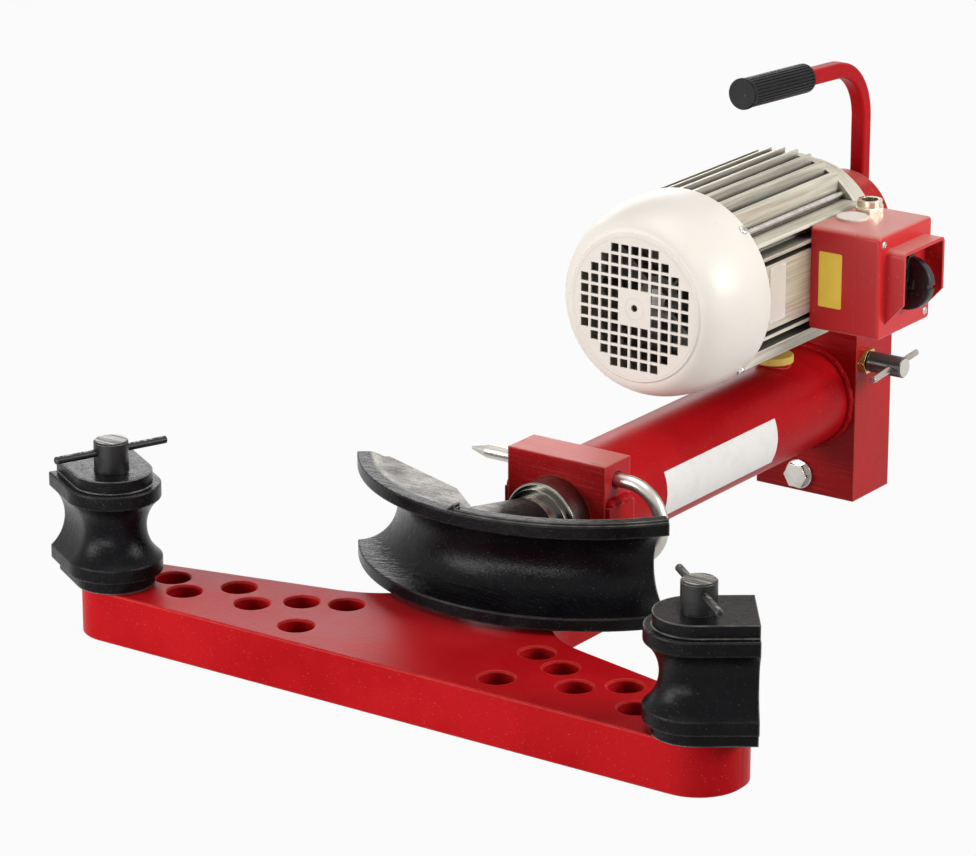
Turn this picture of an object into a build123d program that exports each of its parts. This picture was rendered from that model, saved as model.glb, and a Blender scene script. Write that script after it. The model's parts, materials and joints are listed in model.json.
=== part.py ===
from build123d import *
import os
from math import acos, cos, hypot, pi, radians, sin, sqrt, tan

# Pipe bending machine with an electric pump, in millimetres.
# A flat beam carries two grooved counter blocks on loose pins. A hydraulic cylinder, locked into
# a head block on the beam's neck, pushes a crescent former between them. The block at the back of
# the cylinder holds a gear pump, a release valve, the motor above the cylinder and a carry handle.
# +Y points from the counter blocks to the motor, +X to the switch box, +Z up. The origin lies on
# the floor, midway between the two block pins.

# Shared: how far a cut runs past a face, and the gap left at the end of a blind hole
past = 1.0
end_gap = 1.0

# Driving dimensions: bending beam
beam_thickness = 50.0
pin_spacing = 656.0
front_margin = 32.0
end_margin = 37.0
front_corner_r = 43.0
back_corner_r = 42.0
wing_tip_depth = 60.0
wing_root_depth = 121.0
neck_width = 111.0
neck_fillet_r = 105.0
beam_edge_chamfer = 1.2

# Pins and pin holes; a spare hole is placed inward from the block pin and back from the pin line
pin_d = 33.0
pin_play = 0.08
pin_hole_chamfer = 1.5
pin_stand = 29.0
pin_top_chamfer = 1.5
pin_bar_d = 7.4
bar_chamfer = 0.9
pin_bar_play = 0.05
pin_bar_length = 118.0
pin_bar_drop = 10.5
left_bar_turn = 68.0
right_bar_turn = -40.0
spare_holes = [
    (41.0, 37.0),
    (73.0, 14.5),
    (109.0, 52.5),
    (145.5, 25.5),
    (181.0, 56.0),
    (220.0, 74.5),
    (215.0, 3.0),
]

# Pipe and the grooves that take it
pipe_d = 76.1
groove_play = 0.25

# Bending former
bend_r = 220.0
bend_half_angle = 54.0
rim_height = 13.0
rim_round = 1.5
former_gap = 4.7
former_wall = 14.5
former_reach = 120.0
hub_end_d = 61.0
hub_root_d = 84.0
hub_sink = 4.0
left_web_drop = 5.3
right_web_drop = 18.0
web_tip_inset = 31.0
web_root_inset = 63.0
web_root_angle = 17.0
web_foot_inset = 34.0
web_foot_angle = 1.0
socket_d = 40.0
socket_depth = 45.0
socket_play = 0.06
lug_offset = -6.5
lug_width = 13.0
lug_flat = 2.0
lug_depth = 9.0
lug_height = 7.0
strip_width = 11.0
strip_rise = 3.0

# Counter blocks; a turn runs from +X to the way the round end points
block_width = 91.0
block_nose = 48.5
block_tail = 51.0
block_step = 12.5
block_step_inset = 8.0
block_groove_mouth = 60.0
block_edge_r = 1.5
left_block_turn = -31.0
right_block_turn = 216.0

# Head block, cheek plates and lock pin
head_front = 262.5
head_thickness = 43.5
head_rise = 59.0
cheek_thickness = 5.0
cheek_rise = 18.0
cheek_inset = 2.0
cheek_weld = 6.5
lock_pin_d = 14.0
lock_pin_play = 0.08
lock_pin_rise = 41.0
lock_mouth_d = 19.0
lock_mouth_depth = 3.0
lock_pin_tip = 56.5
lock_pin_point = 18.0
lock_pin_point_d = 4.0
lock_hook_start = 12.5
lock_hook_r = 38.0
lock_hook_angle = 165.0

# Cylinder nose and rod gland
nose_d = 79.0
nose_play = 0.05
nose_reach = 27.5
nose_chamfer = 1.5
gland_d = 63.0
gland_play = 0.03
gland_nut_d = 70.0
gland_nut_stand = 6.0
gland_skirt = 8.0
wiper_length = 6.0
bush_length = 51.0
rod_d = 56.0
rod_play = 0.06
collar_d = 60.0
collar_length = 14.0

# Oil tank, pressure cylinder, piston and return spring
tank_d = 103.0
tank_wall = 4.0
tank_length = 408.0
tank_flange = 8.0
tank_register = 8.0
register_play = 0.05
bore_d = 70.0
bore_wall = 7.0
bore_register = 15.0
bore_seat = 6.0
rod_bore_play = 1.0
piston_length = 34.0
piston_back_gap = 8.0
piston_play = 0.06
seal_width = 10.0
seal_depth = 5.0
stud_d = 32.0
stud_length = 28.0
spring_wire_d = 5.0
spring_turns = 10
spring_end_gap = 0.3
tank_weld = 6.5
filler_boss_d = 34.0
filler_boss_rise = 2.0
filler_hole_d = 24.0
filler_back = 66.0
filler_cap_d = 40.0
filler_cap_height = 7.5
filler_cap_r = 1.9
filler_stub = 6.0
filler_play = 0.1

# Rear block, drain plug and release valve
rear_width = 116.6
rear_thickness = 71.0
rear_arch_r = 52.0
rear_shoulder_drop = 38.0
drain_across = 24.0
drain_head = 7.5
drain_washer_d = 31.0
drain_washer_thickness = 2.5
drain_thread_d = 18.0
drain_thread = 16.0
drain_offset = -6.0
drain_height = 18.5
thread_play = 0.05
valve_back = 15.0
valve_rise = 44.0
valve_nut_across = 24.0
valve_nut_height = 7.7
valve_thread_d = 18.0
valve_thread = 18.0
valve_stem_d = 12.0
valve_stem_play = 0.06
valve_head_d = 21.5
valve_head_chamfer = 1.1
valve_head_length = 40.0
valve_head_gap = 0.5
valve_bar_d = 7.2
valve_bar_length = 88.0
valve_bar_inset = 12.0
valve_bar_tilt = 5.0
valve_ball_d = 9.9
valve_seat_d = 6.0
valve_seat_depth = 47.3
oil_port_d = 8.0

# Gear pump
gear_module = 2.5
gear_teeth = 12
gear_addendum = 2.2
gear_dedendum = 3.1
gear_pressure_angle = 20.0
gear_backlash = 0.25
gear_width = 17.8
gear_side_play = 0.1
gear_tip_play = 0.12
pump_cover_r = 22.0
pump_cover_thickness = 12.0
pump_shaft_d = 20.0
idler_pin_d = 16.0
pump_pocket = 12.0
shaft_play = 0.06

# Motor
motor_rise = 173.0
motor_d = 198.0
core_d = 164.0
core_wall = 10.0
housing_length = 196.0
fin_thickness = 3.2
fin_pitch = 15.6
fins_per_side = 4
side_fin_rises = [40.0, 54.0]
left_side_fin_rises = [0.0, 13.0, 26.0]
pad_reach = 88.0
pad_half_height = 33.0
shield_length = 43.0
shield_rim = 10.0
shield_cone = 23.0
shield_d = 185.0
flange_d = 160.0
shield_web = 16.0
shield_hollow_d = 132.0
boss_d = 68.0
bearing_d = 52.0
bearing_width = 15.0
bearing_shaft_d = 25.0
bearing_play = 0.04
fan_shield_length = 15.0
fan_shield_web = 7.0
shaft_body_d = 30.0
shaft_hole_play = 2.0
fan_shaft_d = 20.0
fan_shaft_length = 34.0
rotor_d = 89.2
air_gap = 0.6
stack_length = 110.0
stack_inset = 41.0
winding_length = 20.0
winding_thickness = 20.0
winding_round = 6.0
fan_d = 158.0
fan_disc = 3.0
fan_blade_length = 22.0
fan_blade_thickness = 3.0
fan_blades = 8
fan_hub_d = 44.0
tie_rod_d = 6.0
tie_rod_circle_d = 173.0
tie_rod_head_d = 11.0
tie_rod_head = 5.0
screw_play = 0.05
motor_bolt_d = 10.0
motor_bolt_offset = 30.0
motor_bolt_head_d = 16.0
motor_bolt_head = 10.0
motor_bolt_grip = 15.0
bolt_tip_gap = 0.5
counterbore_play = 1.0

# Fan cowl
cowl_d = 200.0
cowl_wall = 2.0
cowl_length = 88.0
cowl_straight = 18.0
cowl_face_d = 146.0
cowl_face_step = 2.0
grille_pitch = 11.5
grille_hole = 8.6
grille_centre_hole_d = 7.0
grille_row_count = 5
grille_corner_count = 3
grille_closed_count = 1
cowl_screw_d = 5.0
cowl_screw_head_d = 9.0
cowl_screw_head = 2.5
cowl_screw_depth = 7.0
cowl_screw_inset = 6.0

# Switch box
box_end_gap = 0.5
box_length = 102.0
box_height = 105.0
box_drop = 50.0
box_depth = 51.0
lid_depth = 26.4
box_wall = 3.0
box_corner_r = 5.0
box_seam_r = 0.8
lid_edge_r = 3.0
hood_length = 79.5
hood_inset = 13.5
hood_depth = 20.0
hood_top_drop = 15.5
hood_height = 75.5
hood_slant = 22.0
hood_wall = 3.5
hood_corner_r = 6.0
lid_screw_inset = 9.0
lid_screw_d = 4.5
lid_screw_head_d = 8.0
lid_screw_head = 2.4
lid_screw_stand = 0.8
lid_screw_length = 34.0
lid_post_d = 13.0
lid_post_length = 12.0
knob_hub_d = 35.0
knob_disc = 4.0
knob_gap = 1.5
knob_nose = 29.0
knob_nose_width = 9.0
knob_fin_r = 26.5
knob_fin_rise = 3.0
knob_fin_width = 10.0
knob_edge_r = 1.5
knob_notch_width = 4.0
knob_notch_depth = 3.0
knob_boss_d = 14.0
knob_boss = 11.0
knob_turn = -6.0
knob_drop = 41.0
knob_side = 52.0
switch_spindle_d = 8.0
switch_spindle_play = 0.06
spindle_in_knob = 8.0
cam_switch_size = 44.0
cam_switch_depth = 44.0
port_inset = 18.0
cable_nut_across = 27.0
cable_nut_height = 5.0
cable_ring_d = 25.0
cable_ring_height = 7.0
cable_bore_d = 17.0
cable_thread_d = 20.0
cable_thread = 12.0
cable_locknut_across = 26.0
cable_locknut = 5.0
cable_inset = 21.0
plug_d = 32.0
plug_cap = 2.5
plug_cap_r = 0.8
plug_stub_d = 24.0
plug_stub = 8.0
plug_pitch = 33.0

# Carry handle
handle_bar = 16.0
handle_bar_r = 3.0
handle_offset = 10.0
handle_foot = 110.0
handle_rise = 126.0
handle_bend_r = 60.0
handle_tilt = 3.6
handle_arm = 229.0
handle_weld = 5.0
grip_d = 30.0
grip_length = 116.0
grip_flutes = 28
grip_flute_depth = 1.4
grip_rib_share = 0.52
grip_valley_share = 0.2
grip_end = 5.0
grip_end_d = 31.5
grip_end_r = 1.2
grip_collar = 3.0
grip_play = 0.05
grip_overhang = 4.0

# Places worked out from the driving dimensions
pin_x = pin_spacing / 2
groove_r = pipe_d / 2 + groove_play
rim_half = groove_r + rim_height
axis_z = beam_thickness + former_gap + rim_half
block_height = 2 * (axis_z - beam_thickness)
block_top = beam_thickness + block_height
pin_top = block_top + pin_stand
pin_hole_r = pin_d / 2 + pin_play
head_back = head_front + head_thickness
head_middle = head_front + head_thickness / 2
nose_front = head_front - nose_reach
gland_front = nose_front - gland_nut_stand
seat_y = gland_front - collar_length
apex_y = seat_y - former_reach
former_centre_y = apex_y + bend_r
shell_back_r = groove_r + former_wall
lock_pin_z = axis_z + lock_pin_rise
tank_front = head_back + tank_flange
rear_front = tank_front + tank_length
rear_back = rear_front + rear_thickness
bore_front = tank_front + tank_register
bore_head = bore_front + bore_register
bore_back = rear_front + bore_seat
piston_back = bore_back - piston_back_gap
piston_front = piston_back - piston_length
valve_y = rear_front + valve_back
valve_z = axis_z + valve_rise
filler_y = rear_front - filler_back
filler_top = axis_z + tank_d / 2 + filler_boss_rise
motor_z = axis_z + motor_rise
shield_front = rear_front - shield_length
housing_front = shield_front - housing_length
cowl_front = housing_front - cowl_length
fan_shield_front = housing_front - fan_shield_length
chamber_front = rear_front + pump_cover_thickness
chamber_back = chamber_front + gear_width + 2 * gear_side_play
gear_front = chamber_front + gear_side_play
gear_pitch_r = gear_module * gear_teeth / 2
gear_tip_r = gear_pitch_r + gear_addendum
idler_z = motor_z - 2 * gear_pitch_r
stack_front = housing_front + stack_inset
stack_back = stack_front + stack_length
drive_bearing_back = rear_front - shield_web - screw_play
drive_bearing_front = drive_bearing_back - bearing_width
fan_bearing_front = fan_shield_front + fan_shield_web
fan_bearing_back = fan_bearing_front + bearing_width
box_y1 = shield_front - box_end_gap
box_y0 = box_y1 - box_length
box_z0 = motor_z - box_drop
box_z1 = box_z0 + box_height
lid_x = pad_reach + box_depth
lid_face_x = lid_x + lid_depth
hood_y0 = box_y0 + hood_inset
hood_z1 = box_z1 - hood_top_drop
hood_z0 = hood_z1 - hood_height
knob_x = lid_face_x + knob_gap
knob_y = box_y0 + knob_side
knob_z = hood_z1 - knob_drop
port_x = pad_reach + port_inset
cable_y = box_y1 - cable_inset
plug_y = cable_y - plug_pitch
handle_y = rear_back + handle_bar / 2
handle_top = motor_z + rear_arch_r + handle_rise
corner_angles = [45.0, 135.0, 225.0, 315.0]


def turned(points, x=0.0, z=0.0):
    """Solid of revolution about a line along Y, from (radius, y) points."""
    return Pos(x, 0, z) * revolve(make_face(Polyline(*points, close=True)), Axis.Y)


def turned_z(points, x=0.0, y=0.0):
    """Solid of revolution about a vertical line, from (radius, z) points."""
    return Pos(x, y, 0) * revolve(make_face(Plane.XZ * Polyline(*points, close=True)), Axis.Z)


def rod_x(radius, x0, x1, y, z):
    """Round bar along X."""
    return Pos((x0 + x1) / 2, y, z) * Rot(0, 90, 0) * Cylinder(radius, x1 - x0)


def rod_y(radius, y0, y1, x=0.0, z=0.0):
    """Round bar along Y."""
    return Pos(x, (y0 + y1) / 2, z) * Rot(90, 0, 0) * Cylinder(radius, y1 - y0)


def rod_z(radius, z0, z1, x=0.0, y=0.0):
    """Round bar along Z."""
    return Pos(x, y, (z0 + z1) / 2) * Cylinder(radius, z1 - z0)


def ring_y(inner, outer, y0, y1, x=0.0, z=0.0):
    """Plain ring about a line along Y."""
    return turned([(inner, y0), (outer, y0), (outer, y1), (inner, y1)], x, z)


def slab(x0, x1, y0, y1, z0, z1):
    """Straight-edged box between two corners."""
    return Pos((x0 + x1) / 2, (y0 + y1) / 2, (z0 + z1) / 2) * Box(x1 - x0, y1 - y0, z1 - z0)


def hexagon(across):
    """Hexagon face of the given width across its flats."""
    return RegularPolygon(across / 2, 6, major_radius=False)


def mirrored(points):
    """The points, each with its mirror image on the other side of the centre plane."""
    return [(side * x, y) for x, y in points for side in (1, -1)]


def on_corners(circle_d):
    """X and Z places of the four diagonal corners round the motor's axis."""
    radius = circle_d / 2
    return [(radius * cos(radians(a)), motor_z + radius * sin(radians(a))) for a in corner_angles]


def bending_beam():
    """Flat T-shaped beam with pin holes in its wings and a neck that carries the cylinder."""
    end_x = pin_x + end_margin
    neck_x = neck_width / 2
    slope = (wing_tip_depth - wing_root_depth) / (pin_x - neck_x)
    end_depth = wing_tip_depth + slope * end_margin
    half = [(end_x, -front_margin), (end_x, end_depth), (neck_x, wing_root_depth), (neck_x, head_back)]
    outline = half + [(-x, y) for x, y in reversed(half)]
    sketch = make_face(Polyline(*outline, close=True))
    for (x, y), radius in zip(half, (front_corner_r, back_corner_r, neck_fillet_r)):
        corners = [v for v in sketch.vertices() if hypot(abs(v.X) - x, v.Y - y) < radius / 10]
        sketch = fillet(corners, radius)
    beam = extrude(sketch, beam_thickness)
    top = beam.faces().sort_by(Axis.Z)[-1]
    beam = chamfer(top.outer_wire().edges(), beam_edge_chamfer)
    rim_r = pin_hole_r + pin_hole_chamfer
    hole = turned_z([
        (0, -past),
        (pin_hole_r, -past),
        (pin_hole_r, beam_thickness - pin_hole_chamfer),
        (rim_r, beam_thickness),
        (rim_r, beam_thickness + past),
        (0, beam_thickness + past),
    ])
    places = [(pin_x, 0.0)] + [(pin_x - inward, back) for inward, back in spare_holes]
    return beam - [Pos(x, y, 0) * hole for x, y in mirrored(places)]


def block_section():
    """Half section of a counter block: a stepped roller shape with the pipe groove in its side."""
    wide = block_width / 2
    narrow = wide - block_step_inset
    mouth = block_groove_mouth / 2
    groove_depth = groove_r - sqrt(groove_r ** 2 - mouth ** 2)
    low, high = beam_thickness, block_top
    lower = Polyline(
        (0, low), (narrow, low), (narrow, low + block_step), (wide, low + block_step), (wide, axis_z - mouth)
    )
    groove = ThreePointArc((wide, axis_z - mouth), (wide - groove_depth, axis_z), (wide, axis_z + mouth))
    upper = Polyline(
        (wide, axis_z + mouth),
        (wide, high - block_step),
        (narrow, high - block_step),
        (narrow, high),
        (0, high),
        (0, low),
    )
    face = make_face(lower + groove + upper)
    outer = [v for v in face.vertices() if v.X > narrow + block_step_inset / 2]
    return fillet(outer, block_edge_r)


def counter_block(x, turn):
    """Counter block: round at one end, flat at the other, free to turn on its pin."""
    section = block_section()
    centre = block_nose - block_width / 2
    nose = Pos(centre, 0, 0) * Rot(0, 0, -90) * revolve(Plane.XZ * section, Axis.Z, 180)
    half_bar = extrude(Plane.YZ * section, block_tail + centre)
    bar = Pos(-block_tail, 0, 0) * (half_bar + mirror(half_bar, Plane.XZ))
    pin_bore = rod_z(pin_hole_r, beam_thickness - past, block_top + past)
    return Pos(x, 0, 0) * Rot(0, 0, turn) * (nose + bar - pin_bore)


def block_pin(x, turn):
    """Loose pin through a counter block and the beam, cross drilled for its bar."""
    radius = pin_d / 2
    pin = turned_z([
        (0, 0),
        (radius, 0),
        (radius, pin_top - pin_top_chamfer),
        (radius - pin_top_chamfer, pin_top),
        (0, pin_top),
    ])
    hole = rod_x(pin_bar_d / 2 + pin_bar_play, -pin_d, pin_d, 0, pin_top - pin_bar_drop)
    return Pos(x, 0, 0) * Rot(0, 0, turn) * (pin - hole)


def pin_bar(x, turn):
    """Cross bar that lifts a block pin."""
    bar = rod_x(pin_bar_d / 2, -pin_bar_length / 2, pin_bar_length / 2, 0, pin_top - pin_bar_drop)
    bar = chamfer(bar.edges().filter_by(GeomType.CIRCLE), bar_chamfer)
    return Pos(x, 0, 0) * Rot(0, 0, turn) * bar


def former_ring(section):
    """Section in (radius from the bend's centre, height) swept along the bend."""
    ring = revolve(Plane.XZ * section, Axis.Z, 2 * bend_half_angle)
    return Pos(0, former_centre_y, axis_z) * Rot(0, 0, -90 - bend_half_angle) * ring


def former_web(side, drop):
    """Straight-backed web that fills the bend behind one wing of the former, below its rims."""
    half = rim_half - drop
    front_r = bend_r - rim_height / 2
    corners = [
        (bend_r - web_tip_inset, bend_half_angle),
        (bend_r - web_root_inset, web_root_angle),
        (bend_r - web_foot_inset, web_foot_angle),
        (front_r, web_foot_angle),
        (front_r, (web_foot_angle + bend_half_angle) / 2),
        (front_r, bend_half_angle),
    ]
    plan = [(side * r * sin(radians(a)), former_centre_y - r * cos(radians(a))) for r, a in corners]
    face = make_face(Polyline(*plan, close=True))
    return Pos(0, 0, axis_z - half) * extrude(face, 2 * half, dir=(0, 0, 1))


def bending_former():
    """Crescent former: a grooved half tube bent to the pipe's bend, with a hub for the ram."""
    flat = sqrt(shell_back_r ** 2 - rim_half ** 2)
    groove = ThreePointArc((bend_r, groove_r), (bend_r - groove_r, 0), (bend_r, -groove_r))
    low_rim = Polyline((bend_r, -groove_r), (bend_r, -rim_half), (bend_r - flat, -rim_half))
    back = ThreePointArc((bend_r - flat, -rim_half), (bend_r - shell_back_r, 0), (bend_r - flat, rim_half))
    high_rim = Polyline((bend_r - flat, rim_half), (bend_r, rim_half), (bend_r, groove_r))
    section = make_face(groove + low_rim + back + high_rim)
    section = fillet([v for v in section.vertices() if v.X > bend_r - flat / 2], rim_round)
    shell = former_ring(section)
    core = former_ring(Pos(bend_r, 0, 0) * Circle(shell_back_r - hub_sink))
    hub = turned([
        (0, apex_y),
        (hub_root_d / 2, apex_y),
        (hub_root_d / 2, apex_y + shell_back_r),
        (hub_end_d / 2, seat_y),
        (0, seat_y),
    ], z=axis_z)
    socket = rod_y(socket_d / 2 + socket_play, seat_y - socket_depth, seat_y + past, 0, axis_z)
    rim_top = axis_z + rim_half
    lug_front = former_centre_y - sqrt((bend_r - rim_round) ** 2 - lug_offset ** 2)
    lug_x0, lug_x1 = lug_offset - lug_width / 2, lug_offset + lug_width / 2
    ramp = make_face(Polyline(
        (lug_x0, rim_top - rim_round),
        (lug_x1, rim_top - rim_round),
        (lug_x1, rim_top + lug_height),
        (lug_x1 - lug_flat, rim_top + lug_height),
        close=True,
    ))
    lug = Pos(0, lug_front, 0) * extrude(Plane.XZ * ramp, lug_depth, dir=(0, 1, 0))
    outer = bend_r - rim_round
    strip = Pos(outer - strip_width / 2, rim_half) * Rectangle(strip_width, 2 * strip_rise)
    right_half = slab(lug_x1, bend_r, apex_y - past, former_centre_y, axis_z, rim_top + strip_rise + past)
    raised = former_ring(strip) & right_half
    backing = hub + former_web(1, right_web_drop) + former_web(-1, left_web_drop) - core
    return shell + backing + lug + raised - socket


def ram_rod():
    """Ram: a spigot for the former, the polished rod and a stud for the piston."""
    spigot_tip = seat_y - socket_depth + end_gap
    stud_tip = piston_front + stud_length - end_gap
    return turned([
        (0, spigot_tip),
        (socket_d / 2, spigot_tip),
        (socket_d / 2, gland_front),
        (rod_d / 2, gland_front),
        (rod_d / 2, piston_front),
        (stud_d / 2, piston_front),
        (stud_d / 2, stud_tip),
        (0, stud_tip),
    ], z=axis_z)


def ram_collar():
    """Thrust ring between the rod's shoulder and the former's hub."""
    return ring_y(socket_d / 2 + socket_play, collar_d / 2, seat_y, gland_front, z=axis_z)


def piston():
    """Piston on the ram's stud, with a groove for its seal."""
    radius = bore_d / 2 - piston_play
    inner = stud_d / 2 + socket_play
    seal_front = (piston_front + piston_back - seal_width) / 2
    return turned([
        (inner, piston_front),
        (radius, piston_front),
        (radius, seal_front),
        (radius - seal_depth, seal_front),
        (radius - seal_depth, seal_front + seal_width),
        (radius, seal_front + seal_width),
        (radius, piston_back),
        (0, piston_back),
        (0, piston_front + stud_length),
        (inner, piston_front + stud_length),
    ], z=axis_z)


def piston_seal():
    """Seal ring in the piston's groove."""
    outer = bore_d / 2 - piston_play / 2
    inner = bore_d / 2 - piston_play - seal_depth + socket_play
    middle = (piston_front + piston_back) / 2
    half = seal_width / 2 - socket_play
    return ring_y(inner, outer, middle - half, middle + half, z=axis_z)


def return_spring():
    """Coil round the rod that pushes the piston back."""
    mean_r = (rod_d + bore_d) / 4
    start = bore_head + spring_wire_d / 2 + spring_end_gap
    stop = piston_front - spring_wire_d / 2 - spring_end_gap
    length = stop - start
    path = Helix(length / spring_turns, length, mean_r)
    wire = Plane(path @ 0, z_dir=path % 0) * Circle(spring_wire_d / 2)
    return Pos(0, start, axis_z) * Rot(-90, 0, 0) * sweep(wire, path)


def head_block():
    """Block across the beam's neck that holds the cylinder's nose and the lock pin."""
    half = neck_width / 2
    block = slab(-half, half, head_front, head_back, beam_thickness, axis_z + head_rise)
    bore = rod_y(nose_d / 2 + nose_play, head_front - past, head_back + past, 0, axis_z)
    shank = lock_pin_d / 2 + lock_pin_play
    mouth = lock_mouth_d / 2
    cross = revolve(make_face(Polyline(
        (-half - past, 0),
        (-half - past, mouth),
        (-half, mouth),
        (-half + lock_mouth_depth, shank),
        (half - lock_mouth_depth, shank),
        (half, mouth),
        (half + past, mouth),
        (half + past, 0),
        close=True,
    )), Axis.X)
    return block - bore - Pos(0, head_middle, lock_pin_z) * cross


def head_cheeks():
    """Plates on both sides that tie the head block to the beam's neck."""
    half = neck_width / 2
    plate = slab(half, half + cheek_thickness, head_front + cheek_inset, head_back, 0, axis_z + cheek_rise)
    return Compound(children=[plate, mirror(plate, Plane.YZ)])


def weld_beads():
    """Fillet welds: on the cheek plates, round the tank's back end and beside the handle's foot."""
    half = neck_width / 2
    top = axis_z + cheek_rise
    leg = min(cheek_weld, head_rise - cheek_rise)
    corner = make_face(Polyline((half, top), (half + leg, top), (half, top + leg), close=True))
    bead = Pos(0, head_front + cheek_inset, 0) * extrude(
        Plane.XZ * corner, head_thickness - cheek_inset, dir=(0, 1, 0)
    )
    seam_r = tank_d / 2
    seam = turned([(seam_r, rear_front - tank_weld), (seam_r + tank_weld, rear_front), (seam_r, rear_front)],
                  z=axis_z)
    side = handle_offset + handle_bar / 2
    foot = make_face(Polyline(
        (side, rear_back), (side + handle_weld, rear_back), (side, rear_back + handle_weld), close=True
    ))
    foot_low = motor_z + rear_arch_r - handle_foot
    run = Pos(0, 0, foot_low) * extrude(foot, handle_foot - rear_arch_r)
    other = mirror(run, Plane.YZ.offset(handle_offset))
    return Compound(children=[bead, mirror(bead, Plane.YZ), seam, run, other])


def lock_pin():
    """Pin through the head block and the nose's groove, with a point and a hooked handle."""
    radius = lock_pin_d / 2
    half = neck_width / 2
    tip_x = -half - lock_pin_tip
    hook_x = half + lock_hook_start
    shaft = revolve(make_face(Polyline(
        (tip_x, 0),
        (tip_x, lock_pin_point_d / 2),
        (tip_x + lock_pin_point, radius),
        (hook_x, radius),
        (hook_x, 0),
        close=True,
    )), Axis.X)
    end = Plane.YZ.offset(hook_x) * Circle(radius)
    hook = revolve(end, Axis((hook_x, 0, -lock_hook_r), (0, 1, 0)), lock_hook_angle)
    return Pos(0, head_middle, lock_pin_z) * (shaft + hook)


def cylinder_head():
    """Cylinder nose: a spigot locked in the head block, a flange and registers for the tubes."""
    nose_r = nose_d / 2
    gland_back_y = nose_front + gland_skirt + wiper_length + bush_length
    rod_hole = rod_d / 2 + rod_bore_play
    head = turned([
        (gland_d / 2, nose_front),
        (nose_r - nose_chamfer, nose_front),
        (nose_r, nose_front + nose_chamfer),
        (nose_r, head_back),
        (tank_d / 2, head_back),
        (tank_d / 2, tank_front),
        (tank_d / 2 - tank_wall - register_play, tank_front),
        (tank_d / 2 - tank_wall - register_play, bore_front),
        (bore_d / 2 - register_play, bore_front),
        (bore_d / 2 - register_play, bore_head),
        (rod_hole, bore_head),
        (rod_hole, gland_back_y),
        (gland_d / 2, gland_back_y),
    ], z=axis_z)
    notch = rod_x(lock_pin_d / 2 + lock_pin_play, -nose_r, nose_r, head_middle, lock_pin_z)
    return head - notch


def gland_nut():
    """Ring nut in front of the nose that keeps the wiper and the bush in place."""
    inner = rod_d / 2 + rod_bore_play / 2
    skirt = gland_d / 2 - gland_play
    back = nose_front + gland_skirt
    return turned([
        (inner, gland_front),
        (gland_nut_d / 2, gland_front),
        (gland_nut_d / 2, nose_front),
        (skirt, nose_front),
        (skirt, back),
        (inner, back),
    ], z=axis_z)


def gland_ring(front, length):
    """Ring that fills the gland's pocket round the rod."""
    inner = rod_d / 2 + rod_play
    outer = gland_d / 2 - gland_play
    return ring_y(inner, outer, front, front + length, z=axis_z)


def rod_wiper():
    """Wiper ring behind the gland nut."""
    return gland_ring(nose_front + gland_skirt, wiper_length)


def gland_bush():
    """Bronze bush that guides the rod."""
    return gland_ring(nose_front + gland_skirt + wiper_length, bush_length)


def oil_tank_tube():
    """Outer tube that holds the oil, with a boss for the filler cap."""
    tube = rod_y(tank_d / 2, tank_front, rear_front, 0, axis_z)
    boss = rod_z(filler_boss_d / 2, axis_z, filler_top, 0, filler_y)
    hollow = rod_y(tank_d / 2 - tank_wall, tank_front - past, rear_front + past, 0, axis_z)
    hole = rod_z(filler_hole_d / 2 + filler_play, axis_z, filler_top + past, 0, filler_y)
    return tube + boss - hollow - hole


def pressure_cylinder():
    """Inner tube that the piston runs in."""
    return ring_y(bore_d / 2, bore_d / 2 + bore_wall, bore_front, bore_back, z=axis_z)


def filler_cap():
    """Cap with a stub that reaches through the tank's wall."""
    cap = rod_z(filler_cap_d / 2, filler_top, filler_top + filler_cap_height, 0, filler_y)
    cap = fillet(cap.edges().sort_by(Axis.Z)[-1], filler_cap_r)
    return cap + rod_z(filler_hole_d / 2, filler_top - filler_stub, filler_top, 0, filler_y)


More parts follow.
